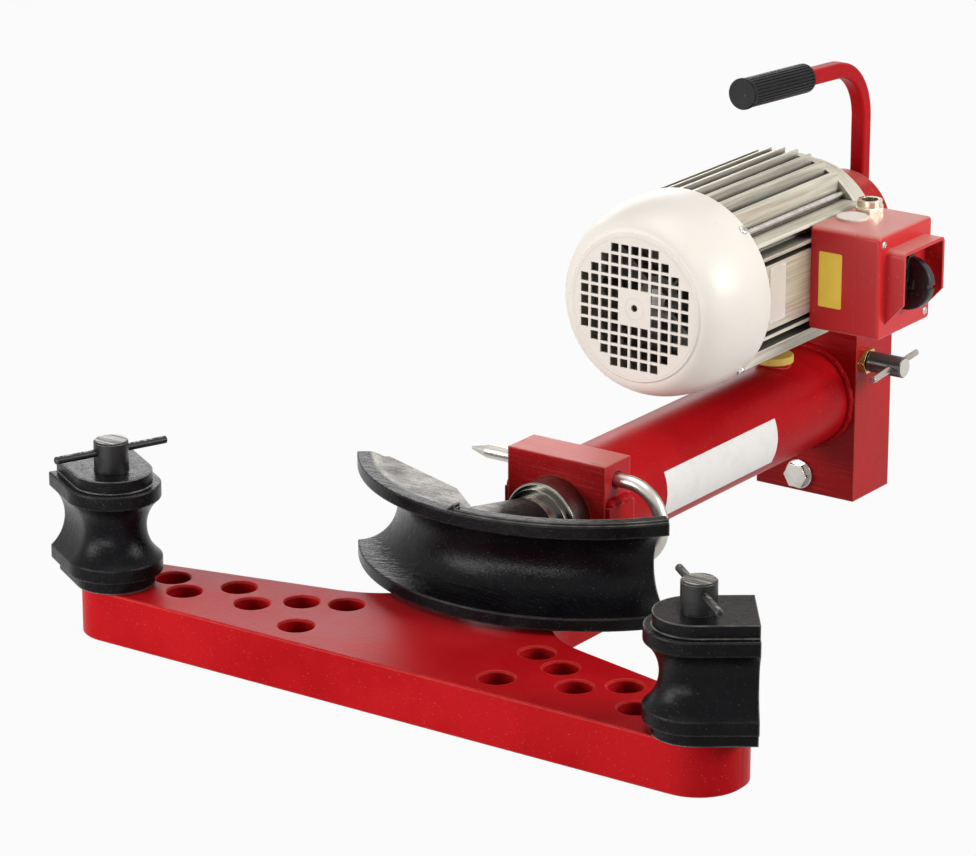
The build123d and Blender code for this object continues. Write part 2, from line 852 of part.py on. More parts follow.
def rear_block():
    """Block that closes the cylinder and holds the pump, the valve, the motor and the handle."""
    half = rear_width / 2
    shoulder = motor_z - rear_shoulder_drop
    foot = Pos(0, shoulder / 2) * Rectangle(rear_width, shoulder)
    arch = Pos(0, motor_z) * Circle(rear_arch_r)
    profile = make_hull(foot.edges() + arch.edges())
    block = Pos(0, rear_front, 0) * extrude(Plane.XZ * profile, rear_thickness, dir=(0, 1, 0))
    seat = rod_y(bore_d / 2 + bore_wall + register_play, rear_front - past, bore_back, 0, axis_z)
    chamber_r = gear_tip_r + gear_tip_play
    cuts = [seat]
    cuts.append(Pos(0, rear_front, 0) * extrude(
        Plane.XZ * pump_cover_outline(gear_tip_play), pump_cover_thickness, dir=(0, 1, 0)
    ))
    for z, pocket_d in ((motor_z, pump_shaft_d), (idler_z, idler_pin_d)):
        cuts.append(rod_y(chamber_r, chamber_front - past, chamber_back, 0, z))
        pocket_r = pocket_d / 2 + shaft_play
        cuts.append(rod_y(pocket_r, chamber_back - past, chamber_back + pump_pocket, 0, z))
    cuts.append(rod_z(oil_port_d / 2, axis_z, idler_z, 0, valve_y))
    cuts.append(rod_y(oil_port_d / 2, bore_back - past, valve_y, 0, axis_z))
    drain_r = drain_thread_d / 2 + thread_play
    drain_end = rear_front + drain_thread + end_gap
    cuts.append(rod_y(drain_r, rear_front - past, drain_end, drain_offset, drain_height))
    seat_x = half - valve_seat_depth
    stem_bore = valve_stem_d / 2 + valve_stem_play
    cuts.append(rod_x(valve_seat_d / 2, 0, seat_x + past, valve_y, valve_z))
    cuts.append(rod_x(stem_bore, seat_x, half, valve_y, valve_z))
    thread_r = valve_thread_d / 2 + thread_play
    cuts.append(rod_x(thread_r, half - valve_thread - end_gap, half + past, valve_y, valve_z))
    for x, z in motor_bolt_places():
        sink_r = motor_bolt_head_d / 2 + counterbore_play
        cuts.append(rod_y(motor_bolt_d / 2 + screw_play, rear_front - past, rear_back, x, z))
        cuts.append(rod_y(sink_r, rear_back - motor_bolt_head, rear_back + past, x, z))
    return block - cuts


def motor_bolt_places():
    """X and Z places of the four bolts that hold the motor to the rear block."""
    return [(i * motor_bolt_offset, motor_z + j * motor_bolt_offset) for i in (-1, 1) for j in (-1, 1)]


def drain_plug():
    """Hexagon plug at the foot of the rear block's front face."""
    head_back_y = rear_front - drain_washer_thickness
    head = Pos(drain_offset, head_back_y - drain_head, drain_height) * extrude(
        Plane.XZ * hexagon(drain_across), drain_head, dir=(0, 1, 0)
    )
    thread_end = rear_front + drain_thread
    return head + rod_y(drain_thread_d / 2, head_back_y, thread_end, drain_offset, drain_height)


def drain_washer():
    """Sealing washer under the drain plug."""
    inner = drain_thread_d / 2 + thread_play
    front = rear_front - drain_washer_thickness
    return ring_y(inner, drain_washer_d / 2, front, rear_front, drain_offset, drain_height)


def valve_nut():
    """Hexagon gland nut of the release valve."""
    face = rear_width / 2
    head = Pos(face, valve_y, valve_z) * extrude(Plane.YZ * hexagon(valve_nut_across), valve_nut_height)
    thread = rod_x(valve_thread_d / 2, face - valve_thread, face + past, valve_y, valve_z)
    bore_r = valve_stem_d / 2 + valve_stem_play
    bore_end = face + valve_nut_height + past
    return head + thread - rod_x(bore_r, face - valve_thread - past, bore_end, valve_y, valve_z)


def valve_places():
    """X places of the ball's centre, the stem's tip and the knob's two ends."""
    seat_x = rear_width / 2 - valve_seat_depth
    ball_x = seat_x + sqrt((valve_ball_d / 2) ** 2 - (valve_seat_d / 2) ** 2) + valve_stem_play
    stem_x = ball_x + valve_ball_d / 2 + valve_stem_play
    head_x = rear_width / 2 + valve_nut_height + valve_head_gap
    return ball_x, stem_x, head_x, head_x + valve_head_length


def valve_spindle():
    """Release screw with a thick head, cross drilled for its bar."""
    _, stem_x, head_x, end_x = valve_places()
    stem = rod_x(valve_stem_d / 2, stem_x, head_x + past, valve_y, valve_z)
    head = rod_x(valve_head_d / 2, head_x, end_x, valve_y, valve_z)
    head = chamfer(head.edges().filter_by(GeomType.CIRCLE), valve_head_chamfer)
    hole = rod_y(valve_bar_d / 2 + pin_bar_play, -valve_head_d, valve_head_d)
    return stem + head - Pos(end_x - valve_bar_inset, valve_y, valve_z) * Rot(valve_bar_tilt, 0, 0) * hole


def valve_t_bar():
    """Cross bar that turns the release screw."""
    end_x = valve_places()[-1]
    bar = rod_y(valve_bar_d / 2, -valve_bar_length / 2, valve_bar_length / 2)
    bar = chamfer(bar.edges().filter_by(GeomType.CIRCLE), bar_chamfer)
    return Pos(end_x - valve_bar_inset, valve_y, valve_z) * Rot(valve_bar_tilt, 0, 0) * bar


def valve_ball():
    """Ball that the release screw presses on its seat."""
    return Pos(valve_places()[0], valve_y, valve_z) * Sphere(valve_ball_d / 2)


def pump_cover_outline(grow):
    """Outline of the pump cover in X and Z, round both gear axes."""
    width = 2 * (pump_cover_r + grow)
    slot = SlotCenterToCenter(2 * gear_pitch_r, width, rotation=90)
    return Pos(0, (motor_z + idler_z) / 2) * slot


def pump_cover():
    """Plate sunk in the rear block's face that closes the gear chamber."""
    outline = Plane.XZ * pump_cover_outline(0)
    plate = Pos(0, rear_front, 0) * extrude(outline, pump_cover_thickness, dir=(0, 1, 0))
    hole_front, hole_back = rear_front - past, chamber_front + past
    shaft_hole = rod_y(pump_shaft_d / 2 + shaft_play, hole_front, hole_back, 0, motor_z)
    pin_hole = rod_y(idler_pin_d / 2 + shaft_play, hole_front, hole_back, 0, idler_z)
    return plate - shaft_hole - pin_hole


def involute(angle):
    """Involute function of an angle in radians."""
    return tan(angle) - angle


def gear_face(bore_r):
    """Spur gear face with one tooth on +Y and involute flanks."""
    pressure = radians(gear_pressure_angle)
    base_r = gear_pitch_r * cos(pressure)
    root_r = gear_pitch_r - gear_dedendum
    half_tooth = (pi * gear_module / 2 - gear_backlash) / (2 * gear_pitch_r)
    flank = []
    for radius in (base_r, (base_r + gear_pitch_r) / 2, gear_pitch_r, gear_tip_r):
        flank.append((radius, half_tooth + involute(pressure) - involute(acos(base_r / radius))))
    flank.insert(0, (root_r, flank[0][1]))
    outline = []
    for tooth in range(gear_teeth):
        middle = pi / 2 + 2 * pi * tooth / gear_teeth
        for radius, angle in flank:
            outline.append((radius * cos(middle - angle), radius * sin(middle - angle)))
        for radius, angle in reversed(flank):
            outline.append((radius * cos(middle + angle), radius * sin(middle + angle)))
    return make_face(Polyline(*outline, close=True)) - Circle(bore_r)


def pump_gear(z, turn, bore_r):
    """Gear of the pump, in the chamber behind the cover."""
    face = Rot(0, 0, turn) * gear_face(bore_r)
    return Pos(0, gear_front, z) * extrude(Plane.XZ * face, gear_width, dir=(0, 1, 0))


def pump_drive_gear():
    """Driving gear on the motor's shaft, with a tooth pointing down at the idler."""
    return pump_gear(motor_z, 180, pump_shaft_d / 2 + socket_play / 2)


def pump_idler_gear():
    """Driven gear on its pin, with a gap facing the driving gear's tooth."""
    return pump_gear(idler_z, 180 / gear_teeth, idler_pin_d / 2 + shaft_play)


def idler_pin():
    """Pin that carries the driven gear."""
    return rod_y(idler_pin_d / 2, rear_front, chamber_back + pump_pocket, 0, idler_z)


def motor_housing():
    """Finned motor body with a flat pad on the switch box side."""
    back = shield_front
    core = rod_y(core_d / 2, housing_front, back, 0, motor_z)
    reach = motor_d / 2
    half_fin = fin_thickness / 2
    low, high = motor_z - reach, motor_z + reach
    fins = []
    for k in range(fins_per_side):
        x = (2 * k + 1) * fin_pitch / 2
        for centre in (x, -x):
            fins.append(slab(centre - half_fin, centre + half_fin, housing_front, back, low, high))
    flat_fins = [(rise, pad_reach) for rise in side_fin_rises] + [(rise, 0) for rise in left_side_fin_rises]
    for rise, end_x in flat_fins:
        for z in sorted({motor_z + rise, motor_z - rise}):
            fins.append(slab(-reach, end_x, housing_front, back, z - half_fin, z + half_fin))
    pad = slab(0, pad_reach, housing_front, back, motor_z - pad_half_height, motor_z + pad_half_height)
    envelope = rod_y(reach, housing_front, back, 0, motor_z)
    body = core + [fin & envelope for fin in fins] + pad
    box_room = slab(pad_reach, lid_x, box_y0 - box_end_gap, back + past,
                    box_z0 - box_end_gap, box_z1 + box_end_gap)
    return body - rod_y(core_d / 2 - core_wall, housing_front - past, back + past, 0, motor_z) - box_room


def drive_end_shield():
    """Motor end shield with the flange that bolts to the rear block."""
    web_front = rear_front - shield_web
    pocket_r = bearing_d / 2 + bearing_play
    hole_r = bearing_shaft_d / 2 + shaft_hole_play
    shield = turned([
        (shield_hollow_d / 2, shield_front),
        (shield_d / 2, shield_front),
        (shield_d / 2, shield_front + shield_rim),
        (flange_d / 2, shield_front + shield_rim + shield_cone),
        (flange_d / 2, rear_front),
        (hole_r, rear_front),
        (hole_r, web_front),
        (pocket_r, web_front),
        (pocket_r, drive_bearing_front),
        (boss_d / 2, drive_bearing_front),
        (boss_d / 2, web_front),
        (shield_hollow_d / 2, web_front),
    ], z=motor_z)
    rod_r = tie_rod_d / 2 + screw_play
    bolt_r = motor_bolt_d / 2 + screw_play
    bolt_tip = rear_front - motor_bolt_grip
    holes = [rod_y(rod_r, shield_front - past, shield_front + shield_rim, x, z)
             for x, z in on_corners(tie_rod_circle_d)]
    holes += [rod_y(bolt_r, bolt_tip - bolt_tip_gap, rear_front + past, x, z) for x, z in motor_bolt_places()]
    return shield - holes


def fan_end_shield():
    """Motor end shield behind the fan."""
    outer = cowl_d / 2 - cowl_wall - screw_play
    pocket_r = bearing_d / 2 + bearing_play
    hole_r = fan_shaft_d / 2 + shaft_hole_play
    front = fan_shield_front
    shield = turned([
        (hole_r, front),
        (outer, front),
        (outer, housing_front),
        (shield_hollow_d / 2, housing_front),
        (shield_hollow_d / 2, fan_bearing_front),
        (boss_d / 2, fan_bearing_front),
        (boss_d / 2, fan_bearing_back),
        (pocket_r, fan_bearing_back),
        (pocket_r, fan_bearing_front),
        (hole_r, fan_bearing_front),
    ], z=motor_z)
    holes = [rod_y(tie_rod_d / 2 + screw_play, front - past, housing_front + past, x, z)
             for x, z in on_corners(tie_rod_circle_d)]
    return shield - holes - cowl_screw_shanks(screw_play)


def motor_bearings():
    """Bearings in the two end shields."""
    inner = bearing_shaft_d / 2 + shaft_play
    outer = bearing_d / 2
    rings = []
    for front in (fan_bearing_front, drive_bearing_front):
        rings.append(ring_y(inner, outer, front, front + bearing_width, z=motor_z))
    return Compound(children=rings)


def motor_shaft():
    """Shaft from the fan, through both bearings, into the pump."""
    fan_end = fan_shield_front - fan_shaft_length
    pump_end = chamber_back + pump_pocket - end_gap
    return turned([
        (0, fan_end),
        (fan_shaft_d / 2, fan_end),
        (fan_shaft_d / 2, fan_bearing_front),
        (bearing_shaft_d / 2, fan_bearing_front),
        (bearing_shaft_d / 2, fan_bearing_back),
        (shaft_body_d / 2, fan_bearing_back),
        (shaft_body_d / 2, drive_bearing_front),
        (bearing_shaft_d / 2, drive_bearing_front),
        (bearing_shaft_d / 2, drive_bearing_back),
        (pump_shaft_d / 2, drive_bearing_back),
        (pump_shaft_d / 2, pump_end),
        (0, pump_end),
    ], z=motor_z)


def stack_ring(inner, outer):
    """Ring as long as the motor's lamination stack."""
    return ring_y(inner, outer, stack_front, stack_back, z=motor_z)


def rotor_core():
    """Rotor stack on the shaft."""
    return stack_ring(shaft_body_d / 2 + socket_play / 2, rotor_d / 2)


def stator_core():
    """Stator stack pressed in the housing."""
    return stack_ring(rotor_d / 2 + air_gap, core_d / 2 - core_wall - screw_play)


def stator_windings():
    """End turns of the winding on both sides of the stator."""
    outer = core_d / 2 - core_wall - screw_play - fin_thickness
    inner = outer - winding_thickness
    rings = []
    for front in (stack_front - winding_length, stack_back):
        back = front + winding_length
        face = make_face(Polyline((inner, front), (outer, front), (outer, back), (inner, back), close=True))
        rings.append(Pos(0, 0, motor_z) * revolve(fillet(face.vertices(), winding_round), Axis.Y))
    return Compound(children=rings)


def cooling_fan():
    """Radial fan on the shaft's free end, under the cowl."""
    inner = fan_shaft_d / 2 + socket_play / 2
    back = fan_shield_front - fan_disc
    front = back - fan_disc - fan_blade_length
    hub = ring_y(inner, fan_hub_d / 2, front, back, z=motor_z)
    disc = ring_y(inner, fan_d / 2, back - fan_disc, back, z=motor_z)
    half = fan_blade_thickness / 2
    blade = slab(fan_hub_d / 2 - past, fan_d / 2 - past, front, back - fan_disc / 2, -half, half)
    blades = [Pos(0, 0, motor_z) * Rot(0, 360 * k / fan_blades, 0) * blade for k in range(fan_blades)]
    return hub + disc + blades


def motor_tie_rods():
    """Long screws that clamp the end shields to the housing."""
    rods = []
    for x, z in on_corners(tie_rod_circle_d):
        rod = rod_y(tie_rod_d / 2, fan_shield_front, shield_front + shield_rim - end_gap, x, z)
        rods.append(rod + rod_y(tie_rod_head_d / 2, fan_shield_front - tie_rod_head, fan_shield_front, x, z))
    return Compound(children=rods)


def motor_bolts():
    """Socket screws from the back of the rear block into the motor's flange."""
    bolts = []
    for x, z in motor_bolt_places():
        head_front_y = rear_back - motor_bolt_head
        bolt = rod_y(motor_bolt_d / 2, rear_front - motor_bolt_grip, head_front_y, x, z)
        head = rod_y(motor_bolt_head_d / 2, head_front_y, rear_back, x, z)
        key = Pos(x, rear_back - motor_bolt_head / 2, z) * extrude(
            Plane.XZ * hexagon(motor_bolt_head_d / 2), motor_bolt_head, dir=(0, 1, 0)
        )
        bolts.append(bolt + head - key)
    return Compound(children=bolts)


def cowl_section(radius, front):
    """Outline of the cowl from its centre to its rim, at one side of its sheet."""
    face_r = cowl_face_d / 2
    shoulder = front + cowl_face_step
    turn_y = housing_front - cowl_straight
    disc = Polyline((0, front), (face_r, front), (face_r + cowl_face_step, shoulder))
    dome = EllipticalCenterArc(
        (face_r + cowl_face_step, turn_y), radius - face_r - cowl_face_step, turn_y - shoulder,
        start_angle=-90, arc_size=90,
    )
    side = Line((radius, turn_y), (radius, housing_front))
    return disc + dome + side


def cowl_solid(inset):
    """Solid inside the cowl's outline, moved in by the sheet's thickness if asked."""
    radius = cowl_d / 2 - inset
    front = cowl_front + inset
    close = Polyline((radius, housing_front), (0, housing_front), (0, front))
    return Pos(0, 0, motor_z) * revolve(make_face(cowl_section(radius, front) + close), Axis.Y)


def grille_places():
    """Grid places of the grille's square holes: a stepped disc with its middle left closed."""
    places = []
    for row in range(-grille_row_count, grille_row_count + 1):
        reach = min(grille_row_count, 2 * grille_row_count - grille_corner_count - abs(row))
        for column in range(-reach, reach + 1):
            if max(abs(row), abs(column)) > grille_closed_count:
                places.append((column * grille_pitch, row * grille_pitch))
    return places


def fan_cowl():
    """Domed sheet cowl over the fan, with a grille of square holes."""
    shell = cowl_solid(0) - cowl_solid(cowl_wall)
    windows = Sketch() + [Pos(x, z) * Rectangle(grille_hole, grille_hole) for x, z in grille_places()]
    windows += Circle(grille_centre_hole_d / 2)
    depth = 2 * cowl_wall + past
    cut = Pos(0, cowl_front - past, motor_z) * extrude(Plane.XZ * windows, depth, dir=(0, 1, 0))
    return shell - cut - cowl_screw_shanks(screw_play)


def cowl_screw(radius, inner, outer, angle):
    """Short radial bar near the cowl's rim, at an angle round the motor's axis."""
    y = housing_front - cowl_screw_inset
    return Pos(0, y, motor_z) * Rot(0, -angle, 0) * rod_x(radius, inner, outer, 0, 0)


def cowl_screw_shanks(grow):
    """Shanks of the four cowl screws, or their holes."""
    rim = cowl_d / 2
    inner = rim - cowl_screw_depth - grow
    return [cowl_screw(cowl_screw_d / 2 + grow, inner, rim + grow, angle) for angle in corner_angles]


def cowl_screws():
    """Screws round the cowl's rim."""
    rim = cowl_d / 2
    screws = []
    for angle, shank in zip(corner_angles, cowl_screw_shanks(0)):
        head = cowl_screw(cowl_screw_head_d / 2, rim, rim + cowl_screw_head, angle)
        screws.append(shank + head)
    return Compound(children=screws)


def lid_screw_places():
    """Y and Z places of the two lid screws, at opposite corners."""
    return [(box_y0 + lid_screw_inset, box_z1 - lid_screw_inset),
            (box_y1 - lid_screw_inset, box_z0 + lid_screw_inset)]


def switch_box_body():
    """Box on the motor's pad, open towards its lid."""
    outer = slab(pad_reach, lid_x, box_y0, box_y1, box_z0, box_z1)
    outer = fillet(outer.edges().filter_by(Axis.X), box_corner_r)
    outer = fillet(outer.faces().sort_by(Axis.X)[-1].edges(), box_seam_r)
    inner = slab(pad_reach + box_wall, lid_x + past, box_y0 + box_wall, box_y1 - box_wall,
                 box_z0 + box_wall, box_z1 - box_wall)
    post_x0, post_x1 = lid_x - lid_post_length, lid_x - box_seam_r
    screw_tip = lid_face_x - lid_screw_length - end_gap
    screw_r = lid_screw_d / 2 + screw_play
    posts = [rod_x(lid_post_d / 2, post_x0, post_x1, y, z) for y, z in lid_screw_places()]
    holes = [rod_x(screw_r, screw_tip, lid_x + past, y, z) for y, z in lid_screw_places()]
    for port_d, y in ((cable_thread_d, cable_y), (plug_stub_d, plug_y)):
        holes.append(rod_z(port_d / 2 + screw_play, box_z1 - box_wall - past, box_z1 + past, port_x, y))
    return outer - inner + [post & outer for post in posts] - holes


def switch_box_lid():
    """Lid of the switch box with a hood round the knob, open at the front and below."""
    lid = slab(lid_x, lid_face_x, box_y0, box_y1, box_z0, box_z1)
    lid = fillet(lid.edges().filter_by(Axis.X), box_corner_r)
    lid = fillet(lid.faces().sort_by(Axis.X)[-1].edges(), lid_edge_r)
    hollow = slab(lid_x - past, lid_face_x - box_wall, box_y0 + box_wall, box_y1 - box_wall,
                  box_z0 + box_wall, box_z1 - box_wall)
    posts = [rod_x(lid_post_d / 2, lid_x, lid_face_x - past, y, z) for y, z in lid_screw_places()]
    hood_x = lid_face_x + hood_depth
    hood_y1 = hood_y0 + hood_length
    hood = slab(lid_face_x - past, hood_x, hood_y0, hood_y1, hood_z0, hood_z1)
    hood = fillet(hood.edges().filter_by(Axis.X).group_by(Axis.Z)[-1], hood_corner_r)
    mouth = slab(lid_face_x, hood_x + past, hood_y0 + hood_wall, hood_y1 - hood_wall,
                 hood_z0 - past, hood_z1 - hood_wall)
    mouth = fillet(mouth.edges().filter_by(Axis.X).group_by(Axis.Z)[-1], hood_corner_r - hood_wall)
    wedge_rise = hood_slant * (hood_depth + past) / hood_depth
    wedge = make_face(Polyline(
        (lid_face_x, hood_z0),
        (hood_x + past, hood_z0 + wedge_rise),
        (hood_x + past, hood_z0 - past),
        (lid_face_x, hood_z0 - past),
        close=True,
    ))
    slant = Pos(0, hood_y0 - past, 0) * extrude(Plane.XZ * wedge, hood_length + 2 * past, dir=(0, 1, 0))
    screw_r = lid_screw_d / 2 + screw_play
    sink_r = lid_screw_head_d / 2 + screw_play
    sink_x = lid_face_x + lid_screw_stand - lid_screw_head
    holes = [rod_x(screw_r, lid_x - past, lid_face_x + past, y, z) for y, z in lid_screw_places()]
    holes += [rod_x(sink_r, sink_x, lid_face_x + past, y, z) for y, z in lid_screw_places()]
    spindle_r = switch_spindle_d / 2 + switch_spindle_play
    holes.append(rod_x(spindle_r, lid_x, lid_face_x + past, knob_y, knob_z))
    return lid - hollow + [post & lid for post in posts] + (hood - mouth - slant) - holes


def lid_screws():
    """Screws that hold the lid on the box."""
    screws = []
    for y, z in lid_screw_places():
        head_x = lid_face_x + lid_screw_stand - lid_screw_head
        shank = rod_x(lid_screw_d / 2, lid_face_x - lid_screw_length, head_x, y, z)
        head = rod_x(lid_screw_head_d / 2, head_x, lid_face_x + lid_screw_stand, y, z)
        screws.append(shank + head)
    return Compound(children=screws)


def switch_knob():
    """Knob: a hub with a pointer, and a half-moon fin across it with a notch in its edge."""
    hub_r = knob_hub_d / 2
    hub = rod_x(hub_r, 0, knob_disc, 0, 0)
    nose_x = knob_nose_width / 2
    nose = make_face(Polyline((-hub_r, 0), (hub_r, 0), (nose_x, knob_nose), (-nose_x, knob_nose), close=True))
    pointer = extrude(Plane.YZ * nose, knob_disc)
    crown = knob_fin_rise + knob_fin_r
    moon = make_face(
        Polyline((knob_fin_rise, knob_fin_r), (0, knob_fin_r), (0, -knob_fin_r), (knob_fin_rise, -knob_fin_r))
        + ThreePointArc((knob_fin_rise, -knob_fin_r), (crown, 0), (knob_fin_rise, knob_fin_r))
    )
    fin = extrude(Plane.XZ * moon, knob_fin_width / 2, both=True)
    fin = fillet(fin.edges().filter_by(GeomType.CIRCLE), knob_edge_r)
    boss = rod_x(knob_boss_d / 2, 0, knob_boss, 0, 0)
    notch = slab(crown - knob_notch_depth, crown + past, -knob_fin_width, knob_fin_width,
                 -knob_notch_width / 2, knob_notch_width / 2)
    bore = rod_x(switch_spindle_d / 2 + socket_play, -past, spindle_in_knob + end_gap, 0, 0)
    knob = hub + pointer + fin + boss - notch - bore
    return Pos(knob_x, knob_y, knob_z) * Rot(knob_turn, 0, 0) * knob


def switch_spindle():
    """Spindle from the knob into the cam switch."""
    inner_end = lid_face_x - box_wall - cam_switch_depth / 2
    return rod_x(switch_spindle_d / 2, inner_end, knob_x + spindle_in_knob, knob_y, knob_z)


def cam_switch():
    """Cam switch on the inside of the lid."""
    half = cam_switch_size / 2
    back = lid_face_x - box_wall
    block = slab(back - cam_switch_depth, back, knob_y - half, knob_y + half, knob_z - half, knob_z + half)
    bore_r = switch_spindle_d / 2 + switch_spindle_play
    return block - rod_x(bore_r, back - cam_switch_depth / 2 - end_gap, back + past, knob_y, knob_z)


def cable_gland():
    """Open cable gland on the box's top, with its locknut inside."""
    hexes = Pos(port_x, cable_y, box_z1) * extrude(hexagon(cable_nut_across), cable_nut_height)
    top = box_z1 + cable_nut_height + cable_ring_height
    ring = rod_z(cable_ring_d / 2, box_z1, top, port_x, cable_y)
    thread = rod_z(cable_thread_d / 2, box_z1 - cable_thread, box_z1, port_x, cable_y)
    under = box_z1 - box_wall - cable_locknut
    locknut = Pos(port_x, cable_y, under) * extrude(hexagon(cable_locknut_across), cable_locknut)
    bore_hole = rod_z(cable_bore_d / 2, box_z1 - cable_thread - past, top + past, port_x, cable_y)
    room = slab(pad_reach + box_wall, lid_x, box_y0, box_y1 - box_wall, under, box_z1)
    return hexes + ring + thread + (locknut & room) - bore_hole


def blanking_plug():
    """Plain plug in the box's unused cable hole."""
    cap = rod_z(plug_d / 2, box_z1, box_z1 + plug_cap, port_x, plug_y)
    cap = fillet(cap.edges().sort_by(Axis.Z)[-1], plug_cap_r)
    return cap + rod_z(plug_stub_d / 2, box_z1 - plug_stub, box_z1, port_x, plug_y)


def handle_places():
    """Y and Z places of the handle's foot, corner and free end."""
    tilt = radians(handle_tilt)
    foot = (handle_y, motor_z + rear_arch_r - handle_foot)
    corner = (handle_y, handle_top - handle_arm * sin(tilt))
    end = (handle_y - handle_arm * cos(tilt), handle_top)
    return foot, corner, end


def square_bar(size, corner_r):
    """Square section with rounded corners."""
    return RectangleRounded(size, size, corner_r)


def carry_handle():
    """Square bar that rises from the rear block's back and turns forward over the motor."""
    foot, corner, end = handle_places()
    path = Plane.YZ.offset(handle_offset) * FilletPolyline(foot, corner, end, radius=handle_bend_r)
    start = Pos(handle_offset, *foot) * square_bar(handle_bar, handle_bar_r)
    return sweep(start, path)


def flute_outline():
    """Points round the grip's fluted section."""
    rib_r = grip_d / 2
    valley_r = rib_r - grip_flute_depth
    pitch = 2 * pi / grip_flutes
    rib, valley = grip_rib_share / 2, grip_valley_share / 2
    corners = ((-rib, rib_r), (rib, rib_r), (0.5 - valley, valley_r), (0.5 + valley, valley_r))
    places = [((k + share) * pitch, radius) for k in range(grip_flutes) for share, radius in corners]
    return [(radius * cos(angle), radius * sin(angle)) for angle, radius in places]


def handle_grip():
    """Sleeve on the handle's arm, fluted along its length, with a wider closed end."""
    end = handle_places()[-1]
    front, back = -grip_overhang, grip_length - grip_overhang
    section = make_face(Polyline(*flute_outline(), close=True))
    sleeve = Pos(0, front, 0) * extrude(Plane.XZ * section, grip_length, dir=(0, 1, 0))
    cap = rod_y(grip_end_d / 2, front, front + grip_end)
    cap = fillet(cap.edges().filter_by(GeomType.CIRCLE), grip_end_r)
    collar = rod_y(grip_d / 2, back - grip_collar, back)
    bar = square_bar(handle_bar + 2 * grip_play, handle_bar_r)
    hole = extrude(Plane.XZ * bar, back + past, dir=(0, 1, 0))
    return Pos(handle_offset, *end) * Rot(-handle_tilt, 0, 0) * (sleeve + cap + collar - hole)


parts = {
    "bending_beam": bending_beam(),
    "head_block": head_block(),
    "head_cheeks": head_cheeks(),
    "weld_beads": weld_beads(),
    "lock_pin": lock_pin(),
    "counter_block_left": counter_block(-pin_x, left_block_turn),
    "counter_block_right": counter_block(pin_x, right_block_turn),
    "block_pin_left": block_pin(-pin_x, left_bar_turn),
    "block_pin_right": block_pin(pin_x, right_bar_turn),
    "pin_bar_left": pin_bar(-pin_x, left_bar_turn),
    "pin_bar_right": pin_bar(pin_x, right_bar_turn),
    "bending_former": bending_former(),
    "ram_rod": ram_rod(),
    "ram_collar": ram_collar(),
    "piston": piston(),
    "piston_seal": piston_seal(),
    "return_spring": return_spring(),
    "cylinder_head": cylinder_head(),
    "gland_nut": gland_nut(),
    "rod_wiper": rod_wiper(),
    "gland_bush": gland_bush(),
    "oil_tank_tube": oil_tank_tube(),
    "pressure_cylinder": pressure_cylinder(),
    "filler_cap": filler_cap(),
    "rear_block": rear_block(),
    "drain_plug": drain_plug(),
    "drain_washer": drain_washer(),
    "valve_nut": valve_nut(),
    "valve_spindle": valve_spindle(),
    "valve_t_bar": valve_t_bar(),
    "valve_ball": valve_ball(),
    "pump_cover": pump_cover(),
    "pump_drive_gear": pump_drive_gear(),
    "pump_idler_gear": pump_idler_gear(),
    "idler_pin": idler_pin(),
    "motor_housing": motor_housing(),
    "drive_end_shield": drive_end_shield(),
    "fan_end_shield": fan_end_shield(),
    "fan_cowl": fan_cowl(),
    "cowl_screws": cowl_screws(),
    "motor_tie_rods": motor_tie_rods(),
    "motor_bolts": motor_bolts(),
    "motor_bearings": motor_bearings(),
    "motor_shaft": motor_shaft(),
    "rotor_core": rotor_core(),
    "stator_core": stator_core(),
    "stator_windings": stator_windings(),
    "cooling_fan": cooling_fan(),
    "switch_box_body": switch_box_body(),
    "switch_box_lid": switch_box_lid(),
    "lid_screws": lid_screws(),
    "switch_knob": switch_knob(),
    "switch_spindle": switch_spindle(),
    "cam_switch": cam_switch(),
    "cable_gland": cable_gland(),
    "blanking_plug": blanking_plug(),
    "carry_handle": carry_handle(),
    "handle_grip": handle_grip(),
}

os.makedirs("parts", exist_ok=True)
for name, shape in parts.items():
    export_step(shape, f"parts/{name}.step")
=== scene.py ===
"""Dresses a pipe bending machine: its finishes, weld seams, screws, blank plates, light and camera."""

from __future__ import annotations

import json
import logging
import math
from dataclasses import dataclass
from enum import Enum
from typing import Optional

import bmesh
import bpy
from mathutils import Matrix, Vector, noise

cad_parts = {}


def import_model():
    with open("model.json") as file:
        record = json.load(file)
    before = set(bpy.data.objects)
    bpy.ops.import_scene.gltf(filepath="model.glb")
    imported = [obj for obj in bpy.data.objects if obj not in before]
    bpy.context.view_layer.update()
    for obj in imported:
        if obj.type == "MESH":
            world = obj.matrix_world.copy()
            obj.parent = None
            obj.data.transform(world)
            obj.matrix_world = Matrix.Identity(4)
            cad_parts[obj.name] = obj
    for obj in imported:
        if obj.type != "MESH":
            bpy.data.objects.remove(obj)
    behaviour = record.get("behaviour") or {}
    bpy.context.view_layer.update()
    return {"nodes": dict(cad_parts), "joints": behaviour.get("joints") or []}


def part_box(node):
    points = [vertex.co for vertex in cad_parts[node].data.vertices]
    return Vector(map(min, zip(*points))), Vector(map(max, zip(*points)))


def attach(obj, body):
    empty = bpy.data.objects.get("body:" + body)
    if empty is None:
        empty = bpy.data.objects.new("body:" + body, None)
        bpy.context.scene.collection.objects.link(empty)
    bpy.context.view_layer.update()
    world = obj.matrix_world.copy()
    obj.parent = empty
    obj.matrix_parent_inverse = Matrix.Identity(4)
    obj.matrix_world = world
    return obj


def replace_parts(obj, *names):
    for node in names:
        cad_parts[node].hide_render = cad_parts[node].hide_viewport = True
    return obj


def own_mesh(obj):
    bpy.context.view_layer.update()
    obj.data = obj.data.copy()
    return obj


Triple = tuple[float, float, float]
Pair = tuple[float, float]
Socket = bpy.types.NodeSocket

